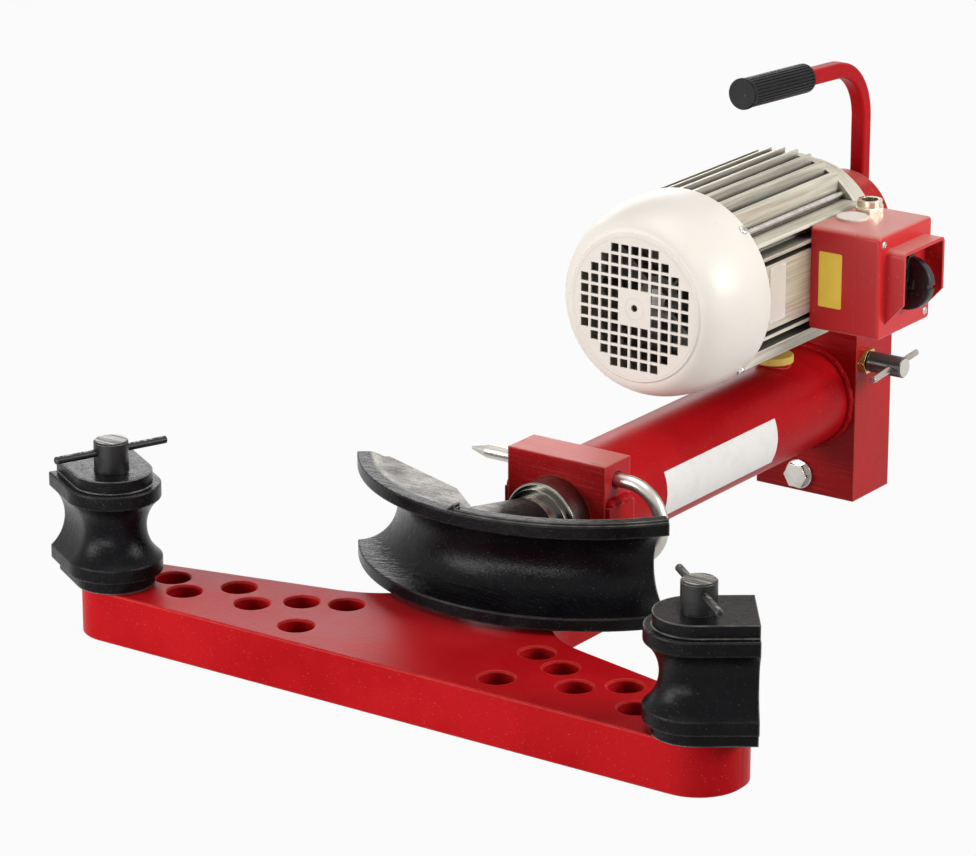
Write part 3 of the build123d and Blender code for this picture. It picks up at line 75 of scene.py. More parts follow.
LOG = logging.getLogger("pipe_bender")
EVEN: Triple = (1.0, 1.0, 1.0)
WHOLE: Pair = (0.0, 1.0)
Y_AXIS: Triple = (0.0, 1.0, 0.0)

# Values that most of a cloudy pattern lies between
NOISE_BAND: Pair = (0.3, 0.7)
# Cosine of the turn at an edge, where the mask of edges starts and where it is full
EDGE_BAND: Pair = (0.985, 0.8)
# Open share of the view out of a gap, where the mask of gaps starts and where it is full
GAP_BAND: Pair = (0.62, 0.22)
MASK_SAMPLES = 6
# Sockets of a mix node that carry the share and the colours
MIX_SHARE, MIX_FIRST, MIX_SECOND = 0, 6, 7
MIX_RESULT = 2


class Lay(Enum):
    """Way that the fine lines of a surface run, as the squeeze of a pattern along X, Y and Z."""

    ALONG_X = (0.03, 1.0, 1.0)
    ALONG_Y = (1.0, 0.03, 1.0)
    ALONG_Z = (1.0, 1.0, 0.03)
    ROUND_X = (1.0, 0.03, 0.03)
    ROUND_Y = (0.03, 1.0, 0.03)
    ROUND_Z = (0.03, 0.03, 1.0)


class Flat(Enum):
    """Way in which a distance is measured, from an axis or along one, as the scale of X, Y and Z."""

    ROUND_Y = (1.0, 0.0, 1.0)
    ROUND_Z = (1.0, 1.0, 0.0)
    ALONG_Z = (0.0, 0.0, 1.0)


@dataclass(frozen=True)
class Pattern:
    """A cloudy pattern: waves in each metre, octaves added, and the share that a band of its values gives."""

    scale: float
    detail: float
    band: Pair = NOISE_BAND
    share: Pair = WHOLE


class NodeSheet:
    """A material's node tree, with a method for each kind of node that the finishes share."""

    def __init__(self, name: str) -> None:
        """Starts a material with an empty shader.

        Args:
            name: the material's name.
        """
        self.material = bpy.data.materials.new(name)
        self.material.use_nodes = True
        self.tree = self.material.node_tree
        self.tree.nodes.clear()
        output = self.node("ShaderNodeOutputMaterial")
        self.shader = self.node("ShaderNodeBsdfPrincipled")
        self.link(self.shader.outputs["BSDF"], output.inputs["Surface"])
        self.coords = self.node("ShaderNodeTexCoord")

    def node(self, kind: str) -> bpy.types.Node:
        """Adds a node of the given kind and returns it."""
        return self.tree.nodes.new(kind)

    def link(self, source: Socket, target: Socket) -> None:
        """Joins an output to an input."""
        self.tree.links.new(source, target)

    def put(self, target: Socket, value: Socket | float | Triple) -> None:
        """Links a socket, or sets a plain value.

        Args:
            target: the input to fill.
            value: an output socket, a number or a colour.
        """
        if isinstance(value, bpy.types.NodeSocket):
            self.link(value, target)
        elif isinstance(value, tuple):
            target.default_value = (*value, 1.0)
        else:
            target.default_value = value

    def place(self, scale: Triple, origin: Triple = (0.0, 0.0, 0.0)) -> Socket:
        """Object coordinates from a new origin, scaled.

        Args:
            scale: factor along each axis.
            origin: point that the coordinates start from.

        Returns:
            The vector.
        """
        mapping = self.node("ShaderNodeMapping")
        mapping.inputs["Scale"].default_value = scale
        mapping.inputs["Location"].default_value = tuple(-s * k for s, k in zip(origin, scale))
        self.link(self.coords.outputs["Object"], mapping.inputs["Vector"])
        return mapping.outputs["Vector"]

    def noise(self, pattern: Pattern, lay: Optional[Lay] = None) -> Socket:
        """Cloudy pattern.

        Args:
            pattern: its scale and detail.
            lay: way that the pattern is drawn out into lines.

        Returns:
            A value about 0.5.
        """
        texture = self.node("ShaderNodeTexNoise")
        texture.inputs["Scale"].default_value = pattern.scale
        texture.inputs["Detail"].default_value = pattern.detail
        self.link(self.place(lay.value if lay else EVEN), texture.inputs["Vector"])
        return texture.outputs["Fac"]

    def spread(self, value: Socket, pattern: Pattern) -> Socket:
        """Turns a pattern's values into its share."""
        return self.remap(value, pattern.band, pattern.share)

    def mask(self, pattern: Pattern) -> Socket:
        """Share that a cloudy pattern gives."""
        return self.spread(self.noise(pattern), pattern)

    def cells(self, scale: float) -> Socket:
        """Scattered points, for pits.

        Args:
            scale: points along each metre.

        Returns:
            The distance to the nearest point.
        """
        texture = self.node("ShaderNodeTexVoronoi")
        texture.inputs["Scale"].default_value = scale
        self.link(self.place(EVEN), texture.inputs["Vector"])
        return texture.outputs["Distance"]

    def reach(self, centre: Triple, flat: Flat) -> Socket:
        """Distance from a point or from an axis through it.

        Args:
            centre: the point.
            flat: way in which the distance is measured.

        Returns:
            The distance in metres.
        """
        length = self.node("ShaderNodeVectorMath")
        length.operation = "LENGTH"
        self.link(self.place(flat.value, centre), length.inputs[0])
        return length.outputs["Value"]

    def facing(self, axis: str) -> Socket:
        """How far a face looks along an axis of the piece's own frame.

        Args:
            axis: X, Y or Z.

        Returns:
            A value from -1 to 1.
        """
        split = self.node("ShaderNodeSeparateXYZ")
        self.link(self.coords.outputs["Normal"], split.inputs["Vector"])
        return split.outputs[axis]

    def remap(self, value: Socket, band: Pair, out: Pair = WHOLE) -> Socket:
        """Stretches a band of values over another, and holds the rest at its ends.

        Args:
            value: what is stretched.
            band: values that give the two ends.
            out: the two ends.

        Returns:
            The stretched value.
        """
        ramp = self.node("ShaderNodeMapRange")
        ramp.clamp = True
        self.link(value, ramp.inputs["Value"])
        ramp.inputs["From Min"].default_value, ramp.inputs["From Max"].default_value = band
        ramp.inputs["To Min"].default_value, ramp.inputs["To Max"].default_value = out
        return ramp.outputs["Result"]

    def combine(self, operation: str, first: Socket, second: Socket | float) -> Socket:
        """Sum, product or the like of two values.

        Args:
            operation: name of the node's operation.
            first: a value.
            second: another value, or a number.

        Returns:
            The result.
        """
        calc = self.node("ShaderNodeMath")
        calc.operation = operation
        self.put(calc.inputs[0], first)
        self.put(calc.inputs[1], second)
        return calc.outputs["Value"]

    def blend(self, share: Socket, first: Socket | Triple, second: Socket | Triple) -> Socket:
        """Mixes two colours.

        Args:
            share: part that the second colour takes.
            first: a colour.
            second: another colour.

        Returns:
            The mixed colour.
        """
        mix = self.node("ShaderNodeMix")
        mix.data_type = "RGBA"
        self.link(share, mix.inputs[MIX_SHARE])
        self.put(mix.inputs[MIX_FIRST], first)
        self.put(mix.inputs[MIX_SECOND], second)
        return mix.outputs[MIX_RESULT]

    def edge(self, radius: float) -> tuple[Socket, Socket]:
        """Softened edges.

        Args:
            radius: how far the softening reaches from an edge.

        Returns:
            The softened normal, and a mask that is 1 at an edge.
        """
        soft = self.node("ShaderNodeBevel")
        soft.samples = MASK_SAMPLES
        soft.inputs["Radius"].default_value = radius
        surface = self.node("ShaderNodeNewGeometry")
        dot = self.node("ShaderNodeVectorMath")
        dot.operation = "DOT_PRODUCT"
        self.link(soft.outputs["Normal"], dot.inputs[0])
        self.link(surface.outputs["Normal"], dot.inputs[1])
        return soft.outputs["Normal"], self.remap(dot.outputs["Value"], EDGE_BAND)

    def corner(self, distance: float) -> Socket:
        """Mask that is 1 deep in a gap and 0 on open faces.

        Args:
            distance: how far other faces are looked for.

        Returns:
            The mask.
        """
        open_share = self.node("ShaderNodeAmbientOcclusion")
        open_share.samples = MASK_SAMPLES
        open_share.inputs["Distance"].default_value = distance
        return self.remap(open_share.outputs["AO"], GAP_BAND)

    def bump(self, height: Socket, depth: float, normal: Optional[Socket] = None) -> Socket:
        """Small relief.

        Args:
            height: height of the relief, from 0 to 1.
            depth: what a height of 1 measures, in metres.
            normal: normal that the relief starts from.

        Returns:
            The new normal.
        """
        relief = self.node("ShaderNodeBump")
        relief.inputs["Strength"].default_value = 1.0
        relief.inputs["Distance"].default_value = depth
        self.link(height, relief.inputs["Height"])
        if normal is not None:
            self.link(normal, relief.inputs["Normal"])
        return relief.outputs["Normal"]

    def close(self, colour: Socket, rough: Socket, normal: Socket, metallic: float = 0.0,
              specular: float = 0.5) -> None:
        """Feeds the shader.

        Args:
            colour: the surface's colour.
            rough: its roughness.
            normal: its normal, with all relief.
            metallic: 1 for bare metal, and 0 for paint or plastic.
            specular: strength of its reflections, where 0.5 is usual.
        """
        inputs = self.shader.inputs
        self.link(colour, inputs["Base Color"])
        self.link(rough, inputs["Roughness"])
        self.link(normal, inputs["Normal"])
        inputs["Metallic"].default_value = metallic
        inputs["Specular IOR Level"].default_value = specular


@dataclass(frozen=True)
class Finish:
    """A surface finish, made into one material."""

    name: str

    def paint(self, sheet: NodeSheet) -> None:
        """Draws the finish, which each kind does in its own way."""
        raise NotImplementedError

    def make(self) -> bpy.types.Material:
        """Builds the material.

        Returns:
            The material.
        """
        sheet = NodeSheet(self.name)
        self.paint(sheet)
        return sheet.material


@dataclass(frozen=True)
class CrimsonEnamel(Finish):
    """Thick red gloss enamel over steel, with dust specks in it, a painted sheen on upward faces, and lighter
    worn edges that are partly a painted highlight.
    """

    base: Triple = (0.42, 0.006, 0.009)
    deep: Triple = (0.35, 0.003, 0.006)
    # Lighter colour of worn edges, partly a painted highlight, and of milled lines
    worn_and_highlight: Triple = (0.68, 0.17, 0.125)
    # Colour of the dust specks, and of the painted sheen on upward faces
    dust_and_sheen: Triple = (0.62, 0.24, 0.19)
    # Share of the painted sheen on upward faces
    top_sheen: float = 0.0
    top_band: Pair = (0.8, 1.0)
    lay: Optional[Lay] = None
    line_depth: float = 0.0
    line_band: Pair = (0.35, 0.65)
    line_rough: float = 0.12
    peel_depth: float = 0.00016
    edge_radius: float = 0.0024
    specular: float = 0.055
    gloss: Pair = (0.30, 0.42)
    cloud: Pattern = Pattern(11.0, 4.0, (0.36, 0.62))
    chips: Pattern = Pattern(60.0, 3.0, (0.3, 0.65), (0.3, 0.85))
    specks: Pattern = Pattern(760.0, 0.0, (0.795, 0.83), (0.0, 0.3))
    peel: Pattern = Pattern(330.0, 1.0)
    waves: Pattern = Pattern(46.0, 2.0)
    lines: Pattern = Pattern(620.0, 3.0, (0.52, 0.68), (0.0, 0.12))

    def paint(self, sheet: NodeSheet) -> None:
        """Draws the enamel.

        Args:
            sheet: the material's nodes.
        """
        cloud = sheet.noise(self.cloud)
        colour = sheet.blend(sheet.spread(cloud, self.cloud), self.deep, self.base)
        normal, edge = sheet.edge(self.edge_radius)
        # Lighter edges: partly worn paint, partly a painted highlight
        colour = sheet.blend(sheet.combine("MULTIPLY", edge, sheet.mask(self.chips)), colour, self.worn_and_highlight)
        colour = sheet.blend(sheet.mask(self.specks), colour, self.dust_and_sheen)
        # Upward faces are paler: a painted sheen
        top = sheet.remap(sheet.facing("Z"), self.top_band, (0.0, self.top_sheen))
        colour = sheet.blend(top, colour, self.dust_and_sheen)
        height = sheet.combine("ADD", sheet.noise(self.peel), sheet.noise(self.waves))
        normal = sheet.bump(height, self.peel_depth, normal)
        rough = sheet.remap(cloud, NOISE_BAND, self.gloss)
        if self.lay is not None:
            lines = sheet.noise(self.lines, self.lay)
            normal = sheet.bump(lines, self.line_depth, normal)
            rough = sheet.combine("ADD", rough, sheet.remap(lines, self.line_band, (0.0, self.line_rough)))
            colour = sheet.blend(sheet.spread(lines, self.lines), colour, self.worn_and_highlight)
        sheet.close(colour, rough, normal, specular=self.specular)


@dataclass(frozen=True)
class BlackCasting(Finish):
    """Sand-cast iron under a thin black paint, with a coarse skin, lighter rubbed edges that are partly a
    painted highlight, and painted glints in the grain.
    """

    base: Triple = (0.003, 0.0024, 0.0034)
    grey: Triple = (0.006, 0.0055, 0.0062)
    # Lighter colour of rubbed edges, partly a painted highlight, and of the painted glints in the grain
    rubbed_and_glint: Triple = (0.44, 0.42, 0.38)
    grain_depth: float = 0.0003
    pit_scale: float = 260.0
    pit_band: Pair = (0.05, 0.22)
    pit_share: float = 0.6
    edge_radius: float = 0.0026
    specular: float = 0.085
    gloss: Pair = (0.17, 0.29)
    cloud: Pattern = Pattern(26.0, 4.0, (0.38, 0.68))
    # Sand grain; its share gives the painted glints
    grain: Pattern = Pattern(640.0, 2.0, (0.68, 0.76), (0.0, 0.14))
    lumps: Pattern = Pattern(120.0, 2.0)
    chips: Pattern = Pattern(55.0, 3.0, (0.3, 0.65), (0.2, 0.75))

    def paint(self, sheet: NodeSheet) -> None:
        """Draws the casting.

        Args:
            sheet: the material's nodes.
        """
        cloud = sheet.noise(self.cloud)
        grain = sheet.noise(self.grain)
        lumps = sheet.noise(self.lumps)
        colour = sheet.blend(sheet.spread(cloud, self.cloud), self.base, self.grey)
        normal, edge = sheet.edge(self.edge_radius)
        # Lighter edges: partly rubbed paint, partly a painted highlight
        colour = sheet.blend(sheet.combine("MULTIPLY", edge, sheet.mask(self.chips)), colour, self.rubbed_and_glint)
        # Painted glints where the grain is high
        colour = sheet.blend(sheet.spread(grain, self.grain), colour, self.rubbed_and_glint)
        pits = sheet.remap(sheet.cells(self.pit_scale), self.pit_band, (0.0, self.pit_share))
        height = sheet.combine("ADD", sheet.combine("ADD", grain, lumps), pits)
        normal = sheet.bump(height, self.grain_depth, normal)
        colour, normal = self.bare_and_sheen_places(sheet, cloud, colour, normal)
        sheet.close(colour, sheet.remap(lumps, NOISE_BAND, self.gloss), normal, specular=self.specular)

    def bare_and_sheen_places(self, sheet: NodeSheet, cloud: Socket, colour: Socket,
                    normal: Socket) -> tuple[Socket, Socket]:
        """Makes the places where a casting is paler, bare metal with a painted sheen. A plain one has none.
        """
        return colour, normal


@dataclass(frozen=True)
class FormerCasting(BlackCasting):
    """The former's casting, whose web is scored on top and, inside the rim and above the groove, paler on
    top: bare metal with a painted sheen.
    """

    # Pale colour of the web's top: bare metal, and a painted sheen
    bare: Triple = (0.47, 0.438, 0.386)
    bare_sheen_band: Pair = (0.3, 0.6)
    bend_centre: Triple = (0.0, 0.315, 0.106)
    rim_r: float = 0.2075
    rim_fade: float = 0.004
    groove_r: float = 0.0385
    groove_fade: float = 0.003
    top_band: Pair = (0.6, 0.9)
    score_depth: float = 0.0009
    scores: Pattern = Pattern(330.0, 3.0)

    def bare_and_sheen_places(self, sheet: NodeSheet, cloud: Socket, colour: Socket,
                    normal: Socket) -> tuple[Socket, Socket]:
        """Scores the web, and makes its top paler: bare metal with a painted sheen.

        Args:
            sheet: the material's nodes.
            cloud: pattern that leaves some of the paint.
            colour: colour of the painted casting.
            normal: its normal.

        Returns:
            The new colour and normal.
        """
        top = sheet.remap(sheet.facing("Z"), self.top_band)
        scored = sheet.combine("MULTIPLY", sheet.noise(self.scores, Lay.ALONG_X), top)
        normal = sheet.bump(scored, self.score_depth, normal)
        out = sheet.reach(self.bend_centre, Flat.ROUND_Z)
        rim = sheet.remap(out, (self.rim_r - self.rim_fade, self.rim_r))
        web = sheet.combine("SUBTRACT", top, sheet.combine("MULTIPLY", top, rim))
        up = sheet.reach(self.bend_centre, Flat.ALONG_Z)
        above = sheet.remap(up, (self.groove_r, self.groove_r + self.groove_fade))
        web = sheet.combine("MULTIPLY", web, above)
        # Paler web top: partly bare metal, partly a painted sheen
        bare_and_sheen = sheet.combine("MULTIPLY", web, sheet.remap(cloud, self.bare_sheen_band))
        return sheet.blend(bare_and_sheen, colour, self.bare), normal


@dataclass(frozen=True)
class TurnedSteel(Finish):
    """Machined steel with fine tool lines and dull stains."""

    base: Triple = (0.60, 0.575, 0.53)
    dark: Triple = (0.36, 0.34, 0.31)
    lay: Lay = Lay.ROUND_Y
    gloss: Pair = (0.16, 0.34)
    dull_band: Pair = (0.5, 0.8)
    dulling: float = 0.1
    line_depth: float = 0.00003
    edge_radius: float = 0.0008
    lines: Pattern = Pattern(900.0, 3.0, (0.5, 0.72), (0.0, 0.35))
    stains: Pattern = Pattern(34.0, 4.0, (0.42, 0.72))

    def paint(self, sheet: NodeSheet) -> None:
        """Draws the steel.

        Args:
            sheet: the material's nodes.
        """
        lines = sheet.noise(self.lines, self.lay)
        stains = sheet.noise(self.stains)
        colour = sheet.blend(sheet.spread(stains, self.stains), self.base, self.dark)
        colour = sheet.blend(sheet.spread(lines, self.lines), colour, self.dark)
        normal, _ = sheet.edge(self.edge_radius)
        normal = sheet.bump(lines, self.line_depth, normal)
        dull = sheet.remap(stains, self.dull_band, (0.0, self.dulling))
        rough = sheet.combine("ADD", sheet.remap(lines, NOISE_BAND, self.gloss), dull)
        sheet.close(colour, rough, normal, metallic=1.0)


@dataclass(frozen=True)
class BlackedSteel(Finish):
    """Blacked bar steel, with a bare sawn or turned end and lighter rubbed edges that are partly a painted
    highlight.
    """

    base: Triple = (0.022, 0.021, 0.022)
    # Colour of the bare end, and of the rubbed edges, where it is partly a painted highlight
    bare: Triple = (0.34, 0.325, 0.29)
    lay: Lay = Lay.ROUND_Z
    end: str = "Z"
    end_band: Pair = (0.85, 0.97)
    end_bared: Pair = (0.45, 0.62)
    end_depth: float = 0.0012
    skin_depth: float = 0.00008
    edge_radius: float = 0.0011
    metallic: float = 0.75
    gloss: Pair = (0.28, 0.46)
    skin: Pattern = Pattern(60.0, 4.0, (0.35, 0.6), (0.2, 0.9))
    lines: Pattern = Pattern(700.0, 2.0)
    saw_marks: Pattern = Pattern(520.0, 4.0)

    def paint(self, sheet: NodeSheet) -> None:
        """Draws the steel.

        Args:
            sheet: the material's nodes.
        """
        skin = sheet.noise(self.skin)
        lines = sheet.noise(self.lines, self.lay)
        sawn = sheet.noise(self.saw_marks, Lay.ALONG_X)
        end = sheet.remap(sheet.facing(self.end), self.end_band)
        normal, edge = sheet.edge(self.edge_radius)
        bare = sheet.combine("MULTIPLY", end, sheet.remap(sawn, self.end_bared))
        # Lighter edges: partly rubbed bare, partly a painted highlight
        rubbed_and_glint = sheet.combine("MULTIPLY", edge, sheet.spread(skin, self.skin))
        colour = sheet.blend(sheet.combine("MAXIMUM", bare, rubbed_and_glint), self.base, self.bare)
        normal = sheet.bump(sheet.combine("MULTIPLY", end, sawn), self.end_depth, normal)
        normal = sheet.bump(sheet.combine("ADD", lines, skin), self.skin_depth, normal)
        sheet.close(colour, sheet.remap(skin, NOISE_BAND, self.gloss), normal, metallic=self.metallic)


@dataclass(frozen=True)
class CastAlloy(Finish):
    """Die-cast aluminium with a warm grey skin, drawn lines, a painted highlight on its edges and painted
    shade in its corners.
    """

    base: Triple = (0.66, 0.62, 0.515)
    dull: Triple = (0.45, 0.42, 0.34)
    # Colour of the painted highlight on edges
    edge_highlight: Triple = (0.88, 0.84, 0.74)
    # Colour of the painted shade in corners and gaps, and how far it looks for other faces
    gap_shade: Triple = (0.05, 0.045, 0.036)
    gap_shade_reach: float = 0.02
    lay: Lay = Lay.ALONG_Y
    line_depth: float = 0.00006
    edge_radius: float = 0.0007
    metallic: float = 0.35
    gloss: Pair = (0.34, 0.5)
    lines: Pattern = Pattern(420.0, 3.0, (0.38, 0.66))
    cloud: Pattern = Pattern(22.0, 4.0, (0.5, 0.75), (0.0, 0.5))
    skin: Pattern = Pattern(760.0, 1.0)

    def paint(self, sheet: NodeSheet) -> None:
        """Draws the alloy.

        Args:
            sheet: the material's nodes.
        """
        lines = sheet.noise(self.lines, self.lay)
        cloud = sheet.noise(self.cloud)
        colour = sheet.blend(sheet.spread(lines, self.lines), self.base, self.dull)
        colour = sheet.blend(sheet.spread(cloud, self.cloud), colour, self.dull)
        normal, edge = sheet.edge(self.edge_radius)
        # Painted highlight on every edge
        colour = sheet.blend(edge, colour, self.edge_highlight)
        # Painted shade deep in corners and gaps
        colour = sheet.blend(sheet.corner(self.gap_shade_reach), colour, self.gap_shade)
        height = sheet.combine("ADD", lines, sheet.noise(self.skin))
        normal = sheet.bump(height, self.line_depth, normal)
        sheet.close(colour, sheet.remap(cloud, NOISE_BAND, self.gloss), normal, metallic=self.metallic)


@dataclass(frozen=True)
class CowlPaint(Finish):
    """Cream paint on a pressed sheet, with faint pressing rings round the grille."""

    base: Triple = (0.78, 0.725, 0.655)
    shade: Triple = (0.66, 0.615, 0.55)
    ring_radii: tuple[float, ...] = (0.0105, 0.0705, 0.0735)
    ring_width: float = 0.0006
    ring_share: float = 0.45
    peel_share: float = 0.06
    relief_depth: float = 0.0006
    edge_radius: float = 0.0009
    specular: float = 0.32
    gloss: Pair = (0.3, 0.42)
    cloud: Pattern = Pattern(13.0, 4.0, (0.5, 0.8), (0.0, 0.6))
    marks: Pattern = Pattern(240.0, 0.0, (0.79, 0.83), (0.0, 0.5))
    peel: Pattern = Pattern(390.0, 2.0)

    def paint(self, sheet: NodeSheet) -> None:
        """Draws the paint.

        Args:
            sheet: the material's nodes.
        """
        cloud = sheet.noise(self.cloud)
        colour = sheet.blend(sheet.spread(cloud, self.cloud), self.base, self.shade)
        colour = sheet.blend(sheet.mask(self.marks), colour, self.shade)
        normal, _ = sheet.edge(self.edge_radius)
        out = sheet.reach(tuple(middle("fan_cowl")), Flat.ROUND_Y)
        height = sheet.combine("MULTIPLY", sheet.noise(self.peel), self.peel_share)
        for radius in self.ring_radii:
            gap = sheet.combine("ABSOLUTE", sheet.combine("SUBTRACT", out, radius), 0.0)
            ring = sheet.remap(gap, (0.0, self.ring_width), (self.ring_share, 0.0))
            height = sheet.combine("ADD", height, ring)
        normal = sheet.bump(height, self.relief_depth, normal)
        sheet.close(colour, sheet.remap(cloud, NOISE_BAND, self.gloss), normal, specular=self.specular)


@dataclass(frozen=True)
class Plating(Finish):
    """Brass, copper, zinc or nickel, a little tarnished."""

    base: Triple
    tarnish: Triple
    lay: Lay = Lay.ROUND_Z
    gloss: Pair = (0.18, 0.34)
    line_depth: float = 0.00003
    edge_radius: float = 0.0006
    cloud: Pattern = Pattern(95.0, 4.0, (0.42, 0.7))
    lines: Pattern = Pattern(1100.0, 2.0)

    def paint(self, sheet: NodeSheet) -> None:
        """Draws the plating.

        Args:
            sheet: the material's nodes.
        """
        cloud = sheet.noise(self.cloud)
        colour = sheet.blend(sheet.spread(cloud, self.cloud), self.base, self.tarnish)
        normal, _ = sheet.edge(self.edge_radius)
        normal = sheet.bump(sheet.noise(self.lines, self.lay), self.line_depth, normal)
        sheet.close(colour, sheet.remap(cloud, NOISE_BAND, self.gloss), normal, metallic=1.0)


@dataclass(frozen=True)
class MouldedPlastic(Finish):
    """Moulded plastic with a fine grain, a few scuffs and, on some, a painted sheen on top, drawn in the
    grain like dust.
    """

    base: Triple
    scuff: Triple
    gloss: Pair = (0.34, 0.46)
    specular: float = 0.4
    # Colour of the painted sheen on upward faces, drawn in the grain like dust
    dust_and_sheen: Optional[Triple] = None
    top_sheen_band: Pair = (0.3, 0.95)
    grain_depth: float = 0.00008
    edge_radius: float = 0.0009
    cloud: Pattern = Pattern(30.0, 4.0, (0.35, 0.65), (0.1, 0.5))
    grain: Pattern = Pattern(1300.0, 1.0, NOISE_BAND, (0.45, 0.75))
    scuffs: Pattern = Pattern(340.0, 0.0, (0.77, 0.81), (0.0, 0.6))

    def paint(self, sheet: NodeSheet) -> None:
        """Draws the plastic.

        Args:
            sheet: the material's nodes.
        """
        cloud = sheet.noise(self.cloud)
        grain = sheet.noise(self.grain)
        normal, edge = sheet.edge(self.edge_radius)
        rub = sheet.combine("MULTIPLY", edge, sheet.spread(cloud, self.cloud))
        colour = sheet.blend(sheet.combine("MAXIMUM", sheet.mask(self.scuffs), rub), self.base, self.scuff)
        if self.dust_and_sheen is not None:
            # Upward faces are paler: a painted sheen
            top = sheet.remap(sheet.facing("Z"), self.top_sheen_band)
            top_sheen = sheet.combine("MULTIPLY", top, sheet.spread(grain, self.grain))
            colour = sheet.blend(top_sheen, colour, self.dust_and_sheen)
        normal = sheet.bump(grain, self.grain_depth, normal)
        sheet.close(colour, sheet.remap(cloud, NOISE_BAND, self.gloss), normal, specular=self.specular)


@dataclass(frozen=True)
class LabelStock(Finish):
    """Printed-label stock without print: a smooth sheet with faint smudges."""

    base: Triple
    smudge: Triple
    metallic: float = 0.0
    lay: Optional[Lay] = None
    gloss: Pair = (0.28, 0.42)
    fibre_depth: float = 0.00002
    cloud: Pattern = Pattern(70.0, 4.0, (0.5, 0.8), (0.0, 0.7))
    fibres: Pattern = Pattern(900.0, 2.0)

    def paint(self, sheet: NodeSheet) -> None:
        """Draws the sheet.

        Args:
            sheet: the material's nodes.
        """
        colour = sheet.blend(sheet.mask(self.cloud), self.base, self.smudge)
        fibre = sheet.noise(self.fibres, self.lay)
        normal = sheet.bump(fibre, self.fibre_depth)
        sheet.close(colour, sheet.remap(fibre, NOISE_BAND, self.gloss), normal, metallic=self.metallic)


def middle(node: str) -> Vector:
    """Middle of a node's box."""
    low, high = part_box(node)
    return (low + high) / 2


def whole_circle(verts: list[bmesh.types.BMVert]) -> list[bmesh.types.BMElem]:
    """A new circle's vertices with their edges and faces, each once.

    Args:
        verts: the circle's vertices.

    Returns:
        All its elements, ready to be spun.
    """
    edges = dict.fromkeys(edge for vert in verts for edge in vert.link_edges)
    faces = dict.fromkeys(face for vert in verts for face in vert.link_faces)
    return [*verts, *edges, *faces]


def add_piece(name: str, mesh_work: bmesh.types.BMesh, finish: bpy.types.Material,
              sharp_angle: float = 35.0) -> bpy.types.Object:
    """Turns a finished bmesh into an object that rides on the fixed frame.

    Args:
        name: the piece's name.
        mesh_work: the shape, in the machine's own frame.
        finish: its material.
        sharp_angle: edges that turn by more than this stay sharp, in degrees.

    Returns:
        The new object.
    """
    mesh = bpy.data.meshes.new(name)
    mesh_work.to_mesh(mesh)
    mesh_work.free()
    mesh.materials.append(finish)
    mesh.polygons.foreach_set("use_smooth", [True] * len(mesh.polygons))
    mesh.set_sharp_from_angle(angle=math.radians(sharp_angle))
    piece = bpy.data.objects.new(name, mesh)
    bpy.context.scene.collection.objects.link(piece)
    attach(piece, "frame")
    LOG.info("%s: %d faces", name, len(mesh.polygons))
    return piece


